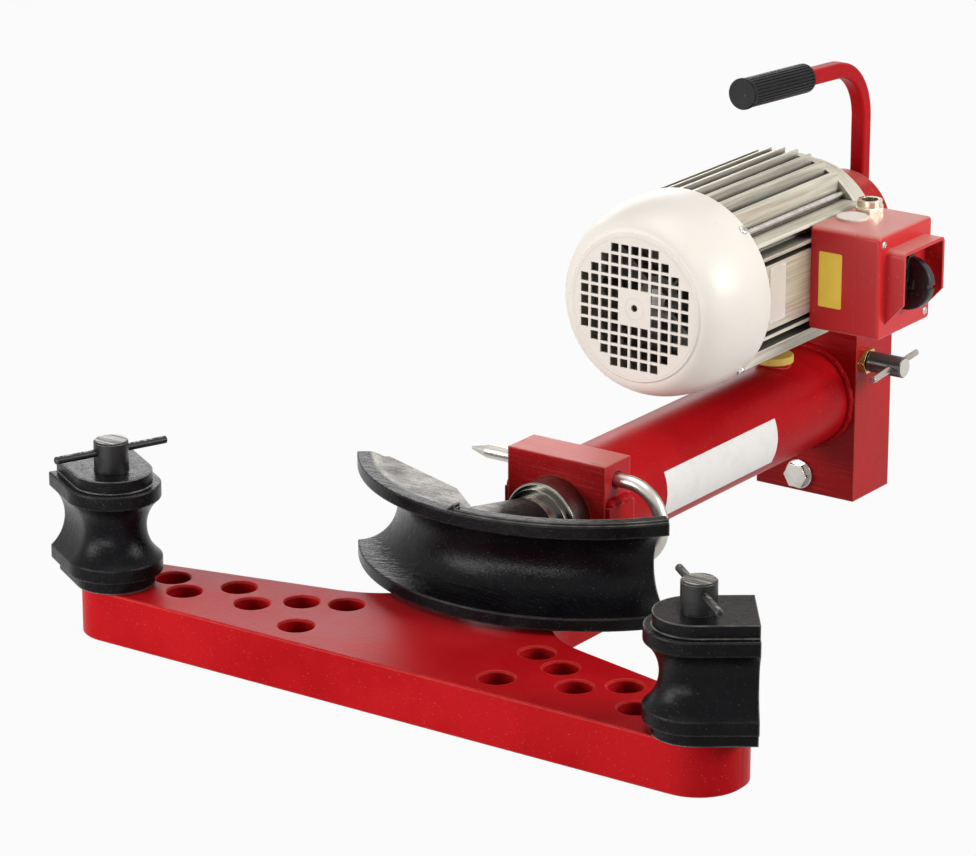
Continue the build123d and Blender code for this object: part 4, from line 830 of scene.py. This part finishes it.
@dataclass
class WeldSeams:
    """Rippled weld beads on the cheek plates, round the tank's back end and beside the handle's foot."""

    bead_sides: int = 12
    ripple_pitch: float = 0.0034
    ripple_steps: int = 6
    ripple: float = 0.06
    lump: float = 0.32
    lump_scale: float = 130.0
    least_steps: int = 8
    blunt_end: float = 0.12
    merge_gap: float = 1e-6
    sharp_angle: float = 80.0
    cheek_r: float = 0.0047
    cheek_out: float = 0.0012
    cheek_end_gap: float = 0.001
    cheek_seed: float = 5.0
    foot_r: float = 0.0037
    foot_out: float = 0.0008
    foot_seed: float = 9.0
    seam_r: float = 0.0038
    seam_out: float = 0.0012
    seam_seed: float = 3.0

    def swell(self, along: float, place: Vector, seed: float) -> float:
        """Size of the bead at a point, as a factor.

        Args:
            along: distance along the bead.
            place: the point, which sets the lumps.
            seed: moves the lumps, so that beads differ.

        Returns:
            A factor about 1.
        """
        wave = self.ripple * math.sin(math.tau * along / self.ripple_pitch)
        return 1.0 + wave + self.lump * noise.noise(place * self.lump_scale + Vector((seed, 0.0, 0.0)))

    def run(self, work: bmesh.types.BMesh, start: Vector, end: Vector, radius: float, seed: float) -> None:
        """Straight bead with blunt rounded ends.

        Args:
            work: the bmesh that the bead is added to.
            start: middle of the bead's first end.
            end: middle of its other end.
            radius: radius of the bead.
            seed: moves the lumps.
        """
        way = end - start
        axis = way.normalized()
        steps = max(self.least_steps, int(way.length / self.ripple_pitch * self.ripple_steps))
        turn = way.to_track_quat("Z", "Y").to_matrix().to_4x4()
        first = bmesh.ops.create_circle(work, cap_ends=True, segments=self.bead_sides, radius=radius,
                                        matrix=Matrix.Translation(start) @ turn)["verts"]
        before = set(work.verts) - set(first)
        bmesh.ops.spin(work, geom=whole_circle(first), cent=start, axis=axis, dvec=way / steps, angle=0.0,
                       steps=steps)
        for vert in [v for v in work.verts if v not in before]:
            along = (vert.co - start).dot(axis)
            core = start + axis * along
            rest = min(along, way.length - along) / radius
            taper = math.sqrt(max(self.blunt_end, 1.0 - (1.0 - min(rest, 1.0)) ** 2))
            vert.co = core + (vert.co - core) * taper * self.swell(along, vert.co, seed)

    def ring(self, work: bmesh.types.BMesh, centre: Vector, ring_r: float) -> None:
        """Bead right round a tube that lies along Y.

        Args:
            work: the bmesh that the bead is added to.
            centre: middle of the ring.
            ring_r: radius of the bead's middle line.
        """
        ripples = math.tau * ring_r / self.ripple_pitch
        start = Matrix.Translation(centre + Vector((ring_r, 0.0, 0.0)))
        first = bmesh.ops.create_circle(work, segments=self.bead_sides, radius=self.seam_r,
                                        matrix=start)["verts"]
        before = set(work.verts) - set(first)
        bmesh.ops.spin(work, geom=whole_circle(first), cent=centre, axis=Y_AXIS, angle=math.tau,
                       steps=int(ripples * self.ripple_steps), use_merge=True)
        for vert in [v for v in work.verts if v not in before]:
            out = Vector((vert.co.x - centre.x, 0.0, vert.co.z - centre.z)).normalized()
            core = centre + out * ring_r
            along = math.atan2(out.z, out.x) / math.tau * round(ripples) * self.ripple_pitch
            vert.co = core + (vert.co - core) * self.swell(along, vert.co, self.seam_seed)

    def build(self, finish: bpy.types.Material) -> bpy.types.Object:
        """Makes all the beads as one piece, in place of the plain ones.

        Args:
            finish: their paint.

        Returns:
            The piece.
        """
        cheek_low, cheek_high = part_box("head_cheeks")
        rear_low, rear_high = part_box("rear_block")
        foot_low, foot_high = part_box("carry_handle")
        cheek_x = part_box("head_block")[1].x + self.cheek_out
        cheek_z = cheek_high.z + self.cheek_out
        foot_half = (foot_high.x - foot_low.x) / 2 + self.foot_out
        foot_y = rear_high.y + self.foot_out
        foot_top = middle("fan_cowl").z
        work = bmesh.new()
        for side in (1, -1):
            self.run(work, Vector((side * cheek_x, cheek_low.y + self.cheek_end_gap, cheek_z)),
                     Vector((side * cheek_x, cheek_high.y - self.cheek_end_gap, cheek_z)),
                     self.cheek_r, side * self.cheek_seed)
            foot_x = (foot_low.x + foot_high.x) / 2 + side * foot_half
            self.run(work, Vector((foot_x, foot_y, foot_low.z)), Vector((foot_x, foot_y, foot_top)),
                     self.foot_r, side * self.foot_seed)
        self.ring(work, Vector((0.0, rear_low.y - self.seam_out, middle("ram_rod").z)),
                  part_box("oil_tank_tube")[1].x + self.seam_out)
        bmesh.ops.remove_doubles(work, verts=work.verts, dist=self.merge_gap)
        bmesh.ops.recalc_face_normals(work, faces=work.faces)
        piece = add_piece("weld_seams", work, finish, self.sharp_angle)
        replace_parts(piece, "weld_beads")
        return piece


@dataclass
class ReturnSpring:
    """Coil round the ram's rod."""

    wire_r: float = 0.0025
    turns: int = 10
    turn_steps: int = 40
    wire_sides: int = 10

    def build(self, finish: bpy.types.Material, stroke: float) -> bpy.types.Object:
        """Makes the coil in the place of the plain one.

        Args:
            finish: its steel.
            stroke: how far the ram comes out; not used.

        Returns:
            The piece.
        """
        low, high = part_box("return_spring")
        axis_z = middle("ram_rod").z
        start = Vector((0.0, low.y + self.wire_r, axis_z))
        mean_r = (high.x - low.x) / 2 - self.wire_r
        steps = self.turns * self.turn_steps
        rise = (high.y - low.y - 2 * self.wire_r) / steps
        work = bmesh.new()
        wire_start = Matrix.Translation(start + Vector((mean_r, 0.0, 0.0)))
        first = bmesh.ops.create_circle(work, cap_ends=True, segments=self.wire_sides, radius=self.wire_r,
                                        matrix=wire_start)["verts"]
        bmesh.ops.spin(work, geom=whole_circle(first), cent=start, axis=Y_AXIS, dvec=(0.0, rise, 0.0),
                       angle=math.tau * self.turns, steps=steps)
        bmesh.ops.recalc_face_normals(work, faces=work.faces)
        piece = add_piece("coil_spring", work, finish)
        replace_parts(piece, "return_spring")
        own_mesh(piece)
        return piece


@dataclass(frozen=True)
class ScrewSize:
    """Sizes of a pan-head screw: radius and height of its head, radius and length of its shank."""

    head_r: float
    head: float
    shank_r: float
    shank: float


@dataclass
class CrossScrews:
    """Pan-head screws with a cross recess, on the switch box's lid and round the cowl's rim."""

    lid_size: ScrewSize = ScrewSize(0.004, 0.0024, 0.00225, 0.0324)
    lid_places: tuple[Pair, ...] = ((0.5855, 0.325), (0.6695, 0.238))
    lid_turn: float = 0.5
    cowl_size: ScrewSize = ScrewSize(0.0045, 0.0025, 0.0025, 0.007)
    cowl_count: int = 4
    cowl_first_angle: float = -45.0
    cowl_first_turn: float = 0.4
    cowl_turn: float = 0.6
    sides: int = 28
    shank_sides: int = 16
    sharp_angle: float = 40.0
    crown: float = 0.45
    crown_steps: tuple[Pair, ...] = ((0.62, 0.9), (0.30, 0.8), (0.08, 0.9))
    recess_reach: float = 0.58
    recess_width: float = 0.17
    recess_depth: float = 0.42
    recess_draft: float = 0.72

    def cross(self, work: bmesh.types.BMesh, radius: float, height: float) -> list[bmesh.types.BMEdge]:
        """Closed loop of edges in the shape of a cross.

        Args:
            work: the bmesh that the loop is added to.
            radius: the screw head's radius.
            height: level of the loop.

        Returns:
            The loop's edges.
        """
        arm, half = radius * self.recess_reach, radius * self.recess_width
        quarter = [Vector((half, half, height)), Vector((half, arm, height)), Vector((-half, arm, height))]
        verts = [work.verts.new(Matrix.Rotation(math.radians(90.0 * turn), 3, "Z") @ corner)
                 for turn in range(4) for corner in quarter]
        return [work.edges.new((verts[k - 1], verts[k])) for k in range(len(verts))]

    def rise(self, work: bmesh.types.BMesh, loop: list[bmesh.types.BMEdge], lift: float,
             shrink: float) -> list[bmesh.types.BMEdge]:
        """Draws a loop out along the screw's axis.

        Args:
            work: the bmesh that holds the loop.
            loop: edges of the loop.
            lift: how far it goes along the axis.
            shrink: factor on its size.

        Returns:
            The new loop's edges.
        """
        made = bmesh.ops.extrude_edge_only(work, edges=loop)["geom"]
        verts = [item for item in made if isinstance(item, bmesh.types.BMVert)]
        bmesh.ops.scale(work, vec=(shrink, shrink, 1.0), verts=verts)
        bmesh.ops.translate(work, vec=(0.0, 0.0, lift), verts=verts)
        edges = [item for item in made if isinstance(item, bmesh.types.BMEdge)]
        return [edge for edge in edges if set(verts).issuperset(edge.verts)]

    def screw(self, place: Matrix, size: ScrewSize) -> bmesh.types.BMesh:
        """One screw, with its head's underside at the origin before it is placed.

        Args:
            place: where the screw goes.
            size: its sizes.

        Returns:
            A bmesh with the screw in place.
        """
        work = bmesh.new()
        bmesh.ops.create_circle(work, segments=self.sides, radius=size.head_r)
        base = list(work.edges)
        loop = self.rise(work, base, size.head * (1.0 - self.crown), 1.0)
        for lift, shrink in self.crown_steps:
            loop = self.rise(work, loop, size.head * self.crown * lift, shrink)
        cross = self.cross(work, size.head_r, size.head)
        bmesh.ops.bridge_loops(work, edges=[*loop, *cross])
        floor = self.rise(work, cross, -size.head * self.recess_depth, self.recess_draft)
        bmesh.ops.edgeloop_fill(work, edges=floor)
        bmesh.ops.edgeloop_fill(work, edges=base)
        bmesh.ops.create_cone(work, cap_ends=True, segments=self.shank_sides, radius1=size.shank_r,
                              radius2=size.shank_r, depth=size.shank,
                              matrix=Matrix.Translation((0.0, 0.0, -size.shank / 2)))
        bmesh.ops.recalc_face_normals(work, faces=work.faces)
        bmesh.ops.transform(work, matrix=place, verts=work.verts)
        return work

    def gather(self, name: str, node: str, works: list[bmesh.types.BMesh],
               finish: bpy.types.Material) -> None:
        """Joins screws into one piece that stands for a node.

        Args:
            name: the piece's name.
            node: the node that it stands for.
            works: one bmesh for each screw.
            finish: their plating.
        """
        whole = bmesh.new()
        for work in works:
            mesh = bpy.data.meshes.new("screw_work")
            work.to_mesh(mesh)
            work.free()
            whole.from_mesh(mesh)
            bpy.data.meshes.remove(mesh)
        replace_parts(add_piece(name, whole, finish, self.sharp_angle), node)

    def build(self, finish: bpy.types.Material) -> None:
        """Makes the lid's and the cowl's screws.

        Args:
            finish: their plating.
        """
        along_x = Matrix.Rotation(math.radians(90.0), 4, "Y")
        lid_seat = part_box("lid_screws")[1].x - self.lid_size.head
        lid = []
        for count, (y, z) in enumerate(self.lid_places):
            spot = Matrix.Translation((lid_seat, y, z)) @ along_x
            lid.append(self.screw(spot @ Matrix.Rotation(self.lid_turn * count, 4, "Z"), self.lid_size))
        self.gather("lid_cross_screws", "lid_screws", lid, finish)
        centre = Matrix.Translation(middle("cowl_screws"))
        rim = Matrix.Translation((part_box("fan_cowl")[1].x, 0.0, 0.0))
        cowl = []
        for count in range(self.cowl_count):
            angle = self.cowl_first_angle - 360.0 / self.cowl_count * count
            spot = centre @ Matrix.Rotation(math.radians(angle), 4, "Y") @ rim @ along_x
            turn = Matrix.Rotation(self.cowl_first_turn + self.cowl_turn * count, 4, "Z")
            cowl.append(self.screw(spot @ turn, self.cowl_size))
        self.gather("cowl_cross_screws", "cowl_screws", cowl, finish)


@dataclass
class BlankLabels:
    """Blank label on the tank, blank rating plate on the motor's pad, and plain sticker on the switch box."""

    thickness: float = 0.0003
    corner_steps: int = 5
    tank_y: Pair = (0.378, 0.581)
    tank_angles: Pair = (-30.5, 23.5)
    tank_gap: float = 0.00036
    tank_sides: int = 240
    plate_y: Pair = (0.500, 0.529)
    plate_z: Pair = (0.2525, 0.3095)
    plate_corner: float = 0.0012
    plate_border: float = 0.0012
    plate_sunk: float = 0.00015
    rivet_r: float = 0.0011
    rivet_inset: float = 0.003
    rivet_sunk: float = 0.0002
    rivet_flatness: float = 0.6
    rivet_sides: int = 14
    rivet_rings: int = 8
    sticker_x: Pair = (0.0975, 0.1235)
    sticker_z: Pair = (0.2543, 0.3103)
    sticker_corner: float = 0.0016

    def tank_label(self, finish: bpy.types.Material) -> bpy.types.Object:
        """Sheet wrapped on the tank's side.

        Args:
            finish: its stock.

        Returns:
            The piece.
        """
        work = bmesh.new()
        centre = Vector((0.0, sum(self.tank_y) / 2, middle("ram_rod").z))
        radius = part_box("oil_tank_tube")[1].x + self.tank_gap
        along_y = Matrix.Rotation(math.radians(-90.0), 4, "X")
        bmesh.ops.create_cone(work, segments=self.tank_sides, radius1=radius, radius2=radius,
                              depth=self.tank_y[1] - self.tank_y[0],
                              matrix=Matrix.Translation(centre) @ along_y)
        for angle, keep in zip(self.tank_angles, (1, -1)):
            turn = math.radians(angle)
            outward = Vector((math.sin(turn), 0.0, -math.cos(turn))) * keep
            bmesh.ops.bisect_plane(work, geom=[*work.verts, *work.edges, *work.faces], plane_co=centre,
                                   plane_no=outward, clear_outer=True)
        bmesh.ops.recalc_face_normals(work, faces=work.faces)
        bmesh.ops.solidify(work, geom=list(work.faces), thickness=self.thickness)
        return add_piece("tank_label", work, finish)

    def sheet(self, centre: Vector, size: Vector, axis: int, corner: float) -> bmesh.types.BMesh:
        """Thin rectangle with rounded corners.

        Args:
            centre: its middle.
            size: its size along X, Y and Z.
            axis: number of the axis that it is thin along.
            corner: radius of its corners.

        Returns:
            A bmesh with the rectangle.
        """
        work = bmesh.new()
        place = Matrix.Translation(centre) @ Matrix.Diagonal((*size, 1.0))
        bmesh.ops.create_cube(work, size=1.0, matrix=place)
        standing = [edge for edge in work.edges
                    if abs((edge.verts[0].co - edge.verts[1].co)[axis]) > size[axis] / 2]
        bmesh.ops.bevel(work, geom=standing, offset=corner, segments=self.corner_steps, profile=0.5,
                        affect="EDGES", material=-1)
        return work

    def rating_plate(self, finish: bpy.types.Material) -> bpy.types.Object:
        """Metal plate with a raised border and four rivets.

        Args:
            finish: its metal.

        Returns:
            The piece.
        """
        (y0, y1), (z0, z1) = self.plate_y, self.plate_z
        pad_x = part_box("motor_housing")[1].x
        deep = 2 * self.thickness
        work = self.sheet(Vector((pad_x + deep / 2, (y0 + y1) / 2, (z0 + z1) / 2)),
                          Vector((deep, y1 - y0, z1 - z0)), 0, self.plate_corner)
        face = max(work.faces, key=lambda item: item.calc_center_median().x)
        bmesh.ops.inset_region(work, faces=[face], thickness=self.plate_border, depth=-self.plate_sunk)
        flat = Matrix.Diagonal((self.rivet_flatness, 1.0, 1.0, 1.0))
        for y in (y0 + self.rivet_inset, y1 - self.rivet_inset):
            for z in (z0 + self.rivet_inset, z1 - self.rivet_inset):
                spot = Matrix.Translation((pad_x + deep - self.rivet_sunk, y, z))
                bmesh.ops.create_uvsphere(work, u_segments=self.rivet_sides, v_segments=self.rivet_rings,
                                          radius=self.rivet_r, matrix=spot @ flat)
        bmesh.ops.recalc_face_normals(work, faces=work.faces)
        return add_piece("rating_plate", work, finish)

    def sticker(self, finish: bpy.types.Material) -> bpy.types.Object:
        """Plain sticker on the box's front.

        Args:
            finish: its stock.

        Returns:
            The piece.
        """
        (x0, x1), (z0, z1) = self.sticker_x, self.sticker_z
        front_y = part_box("switch_box_body")[0].y
        work = self.sheet(Vector(((x0 + x1) / 2, front_y - self.thickness / 2, (z0 + z1) / 2)),
                          Vector((x1 - x0, self.thickness, z1 - z0)), 1, self.sticker_corner)
        bmesh.ops.recalc_face_normals(work, faces=work.faces)
        return add_piece("box_sticker", work, finish)


@dataclass(frozen=True)
class Lamp:
    """Soft rectangular lamp: where it stands, what it faces, its width and height, and its power."""

    name: str
    place: Triple
    aim: Triple
    size: Pair
    watts: float

    def hang(self) -> None:
        """Puts the lamp in the scene, where the camera doesn't see it."""
        light = bpy.data.lights.new(self.name, "AREA")
        light.shape = "RECTANGLE"
        light.size, light.size_y = self.size
        light.energy = self.watts
        lamp = bpy.data.objects.new(self.name, light)
        lamp.location = self.place
        lamp.rotation_euler = (Vector(self.aim) - Vector(self.place)).to_track_quat("-Z", "Y").to_euler()
        lamp.visible_camera = False
        bpy.context.scene.collection.objects.link(lamp)


@dataclass
class Studio:
    """White floor and background, soft lamps and the camera."""

    ambient: float = 0.11
    floor_size: float = 60.0
    floor_drop: float = 0.0004
    floor_shade: float = 0.34
    floor_glow: float = 0.95
    camera_place: Triple = (2.22723, -3.01296, 1.50594)
    camera_yaw: float = 35.148
    camera_pitch: float = 18.331
    camera_lens: float = 162.71
    camera_sensor: float = 36.0
    camera_sight: float = 200.0
    lamps: tuple[Lamp, ...] = (
        Lamp("low_front_bank", (-0.1, -1.8, 0.09), (0.05, 0.3, 0.12), (2.2, 0.16), 25.0),
        Lamp("front_left_bank", (-1.5, -1.7, 0.62), (0.0, 0.15, 0.15), (1.1, 0.8), 31.0),
        Lamp("right_bank", (2.3, 1.0, 1.15), (0.1, 0.4, 0.15), (1.4, 1.0), 58.0),
        Lamp("overhead", (-0.2, 0.3, 2.7), (0.0, 0.3, 0.1), (2.2, 1.8), 34.0),
        Lamp("back_sheen", (-1.7, 2.2, 0.85), (0.0, 0.4, 0.2), (1.4, 0.8), 11.0),
    )

    def seen(self, tree: bpy.types.NodeTree) -> Socket:
        """Value that is 1 for rays which show the background.

        Args:
            tree: node tree that gets the nodes.

        Returns:
            The value.
        """
        path = tree.nodes.new("ShaderNodeLightPath")
        value = path.outputs["Is Camera Ray"]
        for name in ("Is Glossy Ray", "Is Transmission Ray"):
            larger = tree.nodes.new("ShaderNodeMath")
            larger.operation = "MAXIMUM"
            tree.links.new(value, larger.inputs[0])
            tree.links.new(path.outputs[name], larger.inputs[1])
            value = larger.outputs["Value"]
        return value

    def world(self) -> None:
        """White surroundings that light the machine evenly."""
        world = bpy.data.worlds.new("white_studio")
        world.use_nodes = True
        tree = world.node_tree
        strength = tree.nodes.new("ShaderNodeMapRange")
        strength.inputs["To Min"].default_value = self.ambient
        strength.inputs["To Max"].default_value = 1.0
        tree.links.new(self.seen(tree), strength.inputs["Value"])
        backdrop = tree.nodes["Background"]
        backdrop.inputs["Color"].default_value = (1.0, 1.0, 1.0, 1.0)
        tree.links.new(strength.outputs["Result"], backdrop.inputs["Strength"])
        bpy.context.scene.world = world

    def floor_paint(self) -> bpy.types.Material:
        """White paint that keeps a light shadow.

        Returns:
            The material.
        """
        material = bpy.data.materials.new("studio_floor")
        material.use_nodes = True
        tree = material.node_tree
        tree.nodes.clear()
        output = tree.nodes.new("ShaderNodeOutputMaterial")
        matt = tree.nodes.new("ShaderNodeBsdfDiffuse")
        matt.inputs["Color"].default_value = (self.floor_shade, self.floor_shade, self.floor_shade, 1.0)
        glow = tree.nodes.new("ShaderNodeEmission")
        share = tree.nodes.new("ShaderNodeMapRange")
        share.inputs["To Max"].default_value = self.floor_glow
        mix = tree.nodes.new("ShaderNodeMixShader")
        tree.links.new(self.seen(tree), share.inputs["Value"])
        tree.links.new(share.outputs["Result"], mix.inputs["Fac"])
        tree.links.new(matt.outputs["BSDF"], mix.inputs[1])
        tree.links.new(glow.outputs["Emission"], mix.inputs[2])
        tree.links.new(mix.outputs["Shader"], output.inputs["Surface"])
        return material

    def floor(self) -> None:
        """Flat floor, a little below the machine's feet."""
        work = bmesh.new()
        bmesh.ops.create_grid(work, x_segments=1, y_segments=1, size=self.floor_size / 2,
                              matrix=Matrix.Translation((0.0, 0.0, -self.floor_drop)))
        mesh = bpy.data.meshes.new("studio_floor")
        work.to_mesh(mesh)
        work.free()
        mesh.materials.append(self.floor_paint())
        floor = bpy.data.objects.new("studio_floor", mesh)
        bpy.context.scene.collection.objects.link(floor)

    def camera(self) -> None:
        """Camera at the photograph's place."""
        data = bpy.data.cameras.new("photo_camera")
        data.sensor_fit = "HORIZONTAL"
        data.sensor_width = self.camera_sensor
        data.lens = self.camera_lens
        data.clip_end = self.camera_sight
        camera = bpy.data.objects.new("photo_camera", data)
        camera.location = self.camera_place
        camera.rotation_euler = (math.radians(90.0 - self.camera_pitch), 0.0, math.radians(self.camera_yaw))
        bpy.context.scene.collection.objects.link(camera)
        bpy.context.scene.camera = camera

    def build(self) -> None:
        """Sets up the background, floor, lamps and camera."""
        bpy.context.scene.view_settings.view_transform = "Standard"
        self.world()
        self.floor()
        for lamp in self.lamps:
            lamp.hang()
        self.camera()


RED_PLAIN = CrimsonEnamel("crimson_enamel")
# Milled enamel: milled lines, and a painted sheen on its top faces
RED_MILLED = CrimsonEnamel("crimson_enamel_milled", top_sheen=0.4, lay=Lay.ALONG_X, line_depth=0.00006,
                           specular=0.14, gloss=(0.24, 0.36))
RED_WELD = CrimsonEnamel("crimson_enamel_weld", peel_depth=0.0009)
IRON = BlackCasting("black_casting")
IRON_FORMER = FormerCasting("black_casting_former")
STEEL_PLAIN = TurnedSteel("turned_steel")
STEEL_NOSE = TurnedSteel("dark_turned_steel", base=(0.27, 0.26, 0.23), dark=(0.13, 0.128, 0.115),
                         gloss=(0.14, 0.28))
STEEL_PIN = TurnedSteel("drawn_pin_steel", base=(0.56, 0.53, 0.48), dark=(0.40, 0.375, 0.34),
                        lay=Lay.ALONG_X, gloss=(0.26, 0.4))
STEEL_BAR = TurnedSteel("dull_bar_steel", base=(0.46, 0.42, 0.37), dark=(0.26, 0.235, 0.21),
                        lay=Lay.ALONG_Y, gloss=(0.2, 0.34))
STEEL_INNER = TurnedSteel("ground_inner_steel", base=(0.50, 0.49, 0.47), dark=(0.33, 0.32, 0.30),
                          gloss=(0.2, 0.36))
BLACKED = BlackedSteel("blacked_steel")
BLACKED_VALVE = BlackedSteel("blacked_valve_steel", base=(0.085, 0.083, 0.08), bare=(0.58, 0.545, 0.49),
                             lay=Lay.ROUND_X, end="X", end_bared=(0.0, 0.3), end_depth=0.0002)
ALLOY = CastAlloy("cast_alloy")
ALLOY_SHIELD = CastAlloy("cast_alloy_shield", lay=Lay.ROUND_Y, line_depth=0.00009)
COWL = CowlPaint("cowl_cream")
BRASS = Plating("brass", base=(0.72, 0.53, 0.22), tarnish=(0.48, 0.35, 0.15), lay=Lay.ROUND_X)
NICKEL = Plating("pale_nickel", base=(0.76, 0.70, 0.55), tarnish=(0.55, 0.49, 0.36))
ZINC = Plating("zinc", base=(0.66, 0.64, 0.60), tarnish=(0.46, 0.44, 0.41))
COPPER = Plating("copper_wire", base=(0.78, 0.36, 0.17), tarnish=(0.48, 0.21, 0.11), lay=Lay.ROUND_Y,
                 gloss=(0.28, 0.44))
BRONZE = Plating("bearing_bronze", base=(0.62, 0.43, 0.20), tarnish=(0.45, 0.30, 0.15), lay=Lay.ROUND_Y)
# The switch box has a painted sheen on its top faces
RED_BOX = MouldedPlastic("red_box_plastic", base=(0.54, 0.016, 0.019), scuff=(0.62, 0.15, 0.12),
                         gloss=(0.28, 0.38), specular=0.34, dust_and_sheen=(0.58, 0.30, 0.245))
BLACK_KNOB = MouldedPlastic("black_knob_plastic", base=(0.0085, 0.0075, 0.009), scuff=(0.10, 0.10, 0.10),
                            gloss=(0.26, 0.38))
RUBBER = MouldedPlastic("black_grip_rubber", base=(0.008, 0.0075, 0.0082), scuff=(0.09, 0.09, 0.09),
                        gloss=(0.3, 0.42), specular=0.1, grain_depth=0.00006, grain=Pattern(800.0, 1.0))
PALE = MouldedPlastic("pale_plug_plastic", base=(0.74, 0.66, 0.59), scuff=(0.55, 0.47, 0.41),
                      gloss=(0.36, 0.46))
YELLOW = MouldedPlastic("yellow_cap_plastic", base=(0.72, 0.50, 0.10), scuff=(0.50, 0.35, 0.09))
FAN = MouldedPlastic("grey_fan_plastic", base=(0.12, 0.112, 0.095), scuff=(0.07, 0.066, 0.06),
                     gloss=(0.42, 0.56))
LABEL = LabelStock("white_label_stock", base=(0.80, 0.78, 0.75), smudge=(0.70, 0.67, 0.63))
STICKER = LabelStock("yellow_sticker_stock", base=(0.96, 0.66, 0.07), smudge=(0.90, 0.60, 0.06))
PLATE = LabelStock("brushed_plate_metal", base=(0.76, 0.75, 0.70), smudge=(0.64, 0.63, 0.58), metallic=0.3,
                   lay=Lay.ALONG_Z)

NODE_FINISHES: dict[Finish, tuple[str, ...]] = {
    RED_PLAIN: ("bending_beam", "head_cheeks", "oil_tank_tube", "carry_handle"),
    RED_MILLED: ("head_block", "rear_block"),
    RED_WELD: ("weld_beads",),
    IRON: ("counter_block_left", "counter_block_right"),
    IRON_FORMER: ("bending_former",),
    BLACKED: ("block_pin_left", "block_pin_right", "pin_bar_left", "pin_bar_right"),
    STEEL_PLAIN: ("ram_rod", "drain_plug", "drain_washer"),
    STEEL_NOSE: ("ram_collar", "cylinder_head", "gland_nut"),
    STEEL_PIN: ("lock_pin",),
    STEEL_BAR: ("valve_t_bar",),
    BLACKED_VALVE: ("valve_spindle",),
    STEEL_INNER: (
        "piston", "return_spring", "pressure_cylinder", "valve_ball", "pump_cover", "pump_drive_gear",
        "pump_idler_gear", "idler_pin", "motor_bearings", "motor_shaft", "rotor_core", "stator_core",
        "switch_spindle",
    ),
    ALLOY: ("motor_housing",),
    ALLOY_SHIELD: ("drive_end_shield", "fan_end_shield"),
    COWL: ("fan_cowl",),
    BRASS: ("valve_nut",),
    NICKEL: ("cable_gland",),
    ZINC: ("motor_tie_rods", "motor_bolts", "lid_screws", "cowl_screws"),
    COPPER: ("stator_windings",),
    BRONZE: ("gland_bush",),
    RED_BOX: ("switch_box_body", "switch_box_lid"),
    BLACK_KNOB: ("switch_knob", "cam_switch"),
    RUBBER: ("handle_grip", "rod_wiper", "piston_seal"),
    PALE: ("blanking_plug",),
    YELLOW: ("filler_cap",),
    FAN: ("cooling_fan",),
}


class Paintshop:
    """Makes each finish once and puts it on the nodes that wear it."""

    def __init__(self) -> None:
        """Starts with no finish made."""
        self.made: dict[Finish, bpy.types.Material] = {}

    def material(self, finish: Finish) -> bpy.types.Material:
        """A finish's material, made on first use.

        Args:
            finish: the finish.

        Returns:
            The material.
        """
        if finish not in self.made:
            self.made[finish] = finish.make()
        return self.made[finish]

    def dress(self, nodes: dict[str, bpy.types.Object]) -> None:
        """Puts a finish on every node.

        Args:
            nodes: the machine's nodes by name.
        """
        for finish, names in NODE_FINISHES.items():
            for name in names:
                slots = nodes[name].data.materials
                slots.clear()
                slots.append(self.material(finish))
        dressed = {name for names in NODE_FINISHES.values() for name in names}
        LOG.info("nodes without a finish: %s", sorted(set(nodes) - dressed) or "none")


def main() -> None:
    """Builds the scene, one sub-assembly after another."""
    logging.basicConfig(level=logging.INFO, format="%(name)s: %(message)s")
    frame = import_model()
    shop = Paintshop()
    shop.dress(frame["nodes"])
    Studio().build()
    WeldSeams().build(shop.material(RED_WELD))
    stroke = next(joint["range_m"][1] for joint in frame["joints"] if joint["name"] == "ram_slide")
    ReturnSpring().build(shop.material(STEEL_INNER), stroke)
    CrossScrews().build(shop.material(ZINC))
    labels = BlankLabels()
    labels.tank_label(shop.material(LABEL))
    labels.rating_plate(shop.material(PLATE))
    labels.sticker(shop.material(STICKER))


if __name__ == "__main__":
    main()
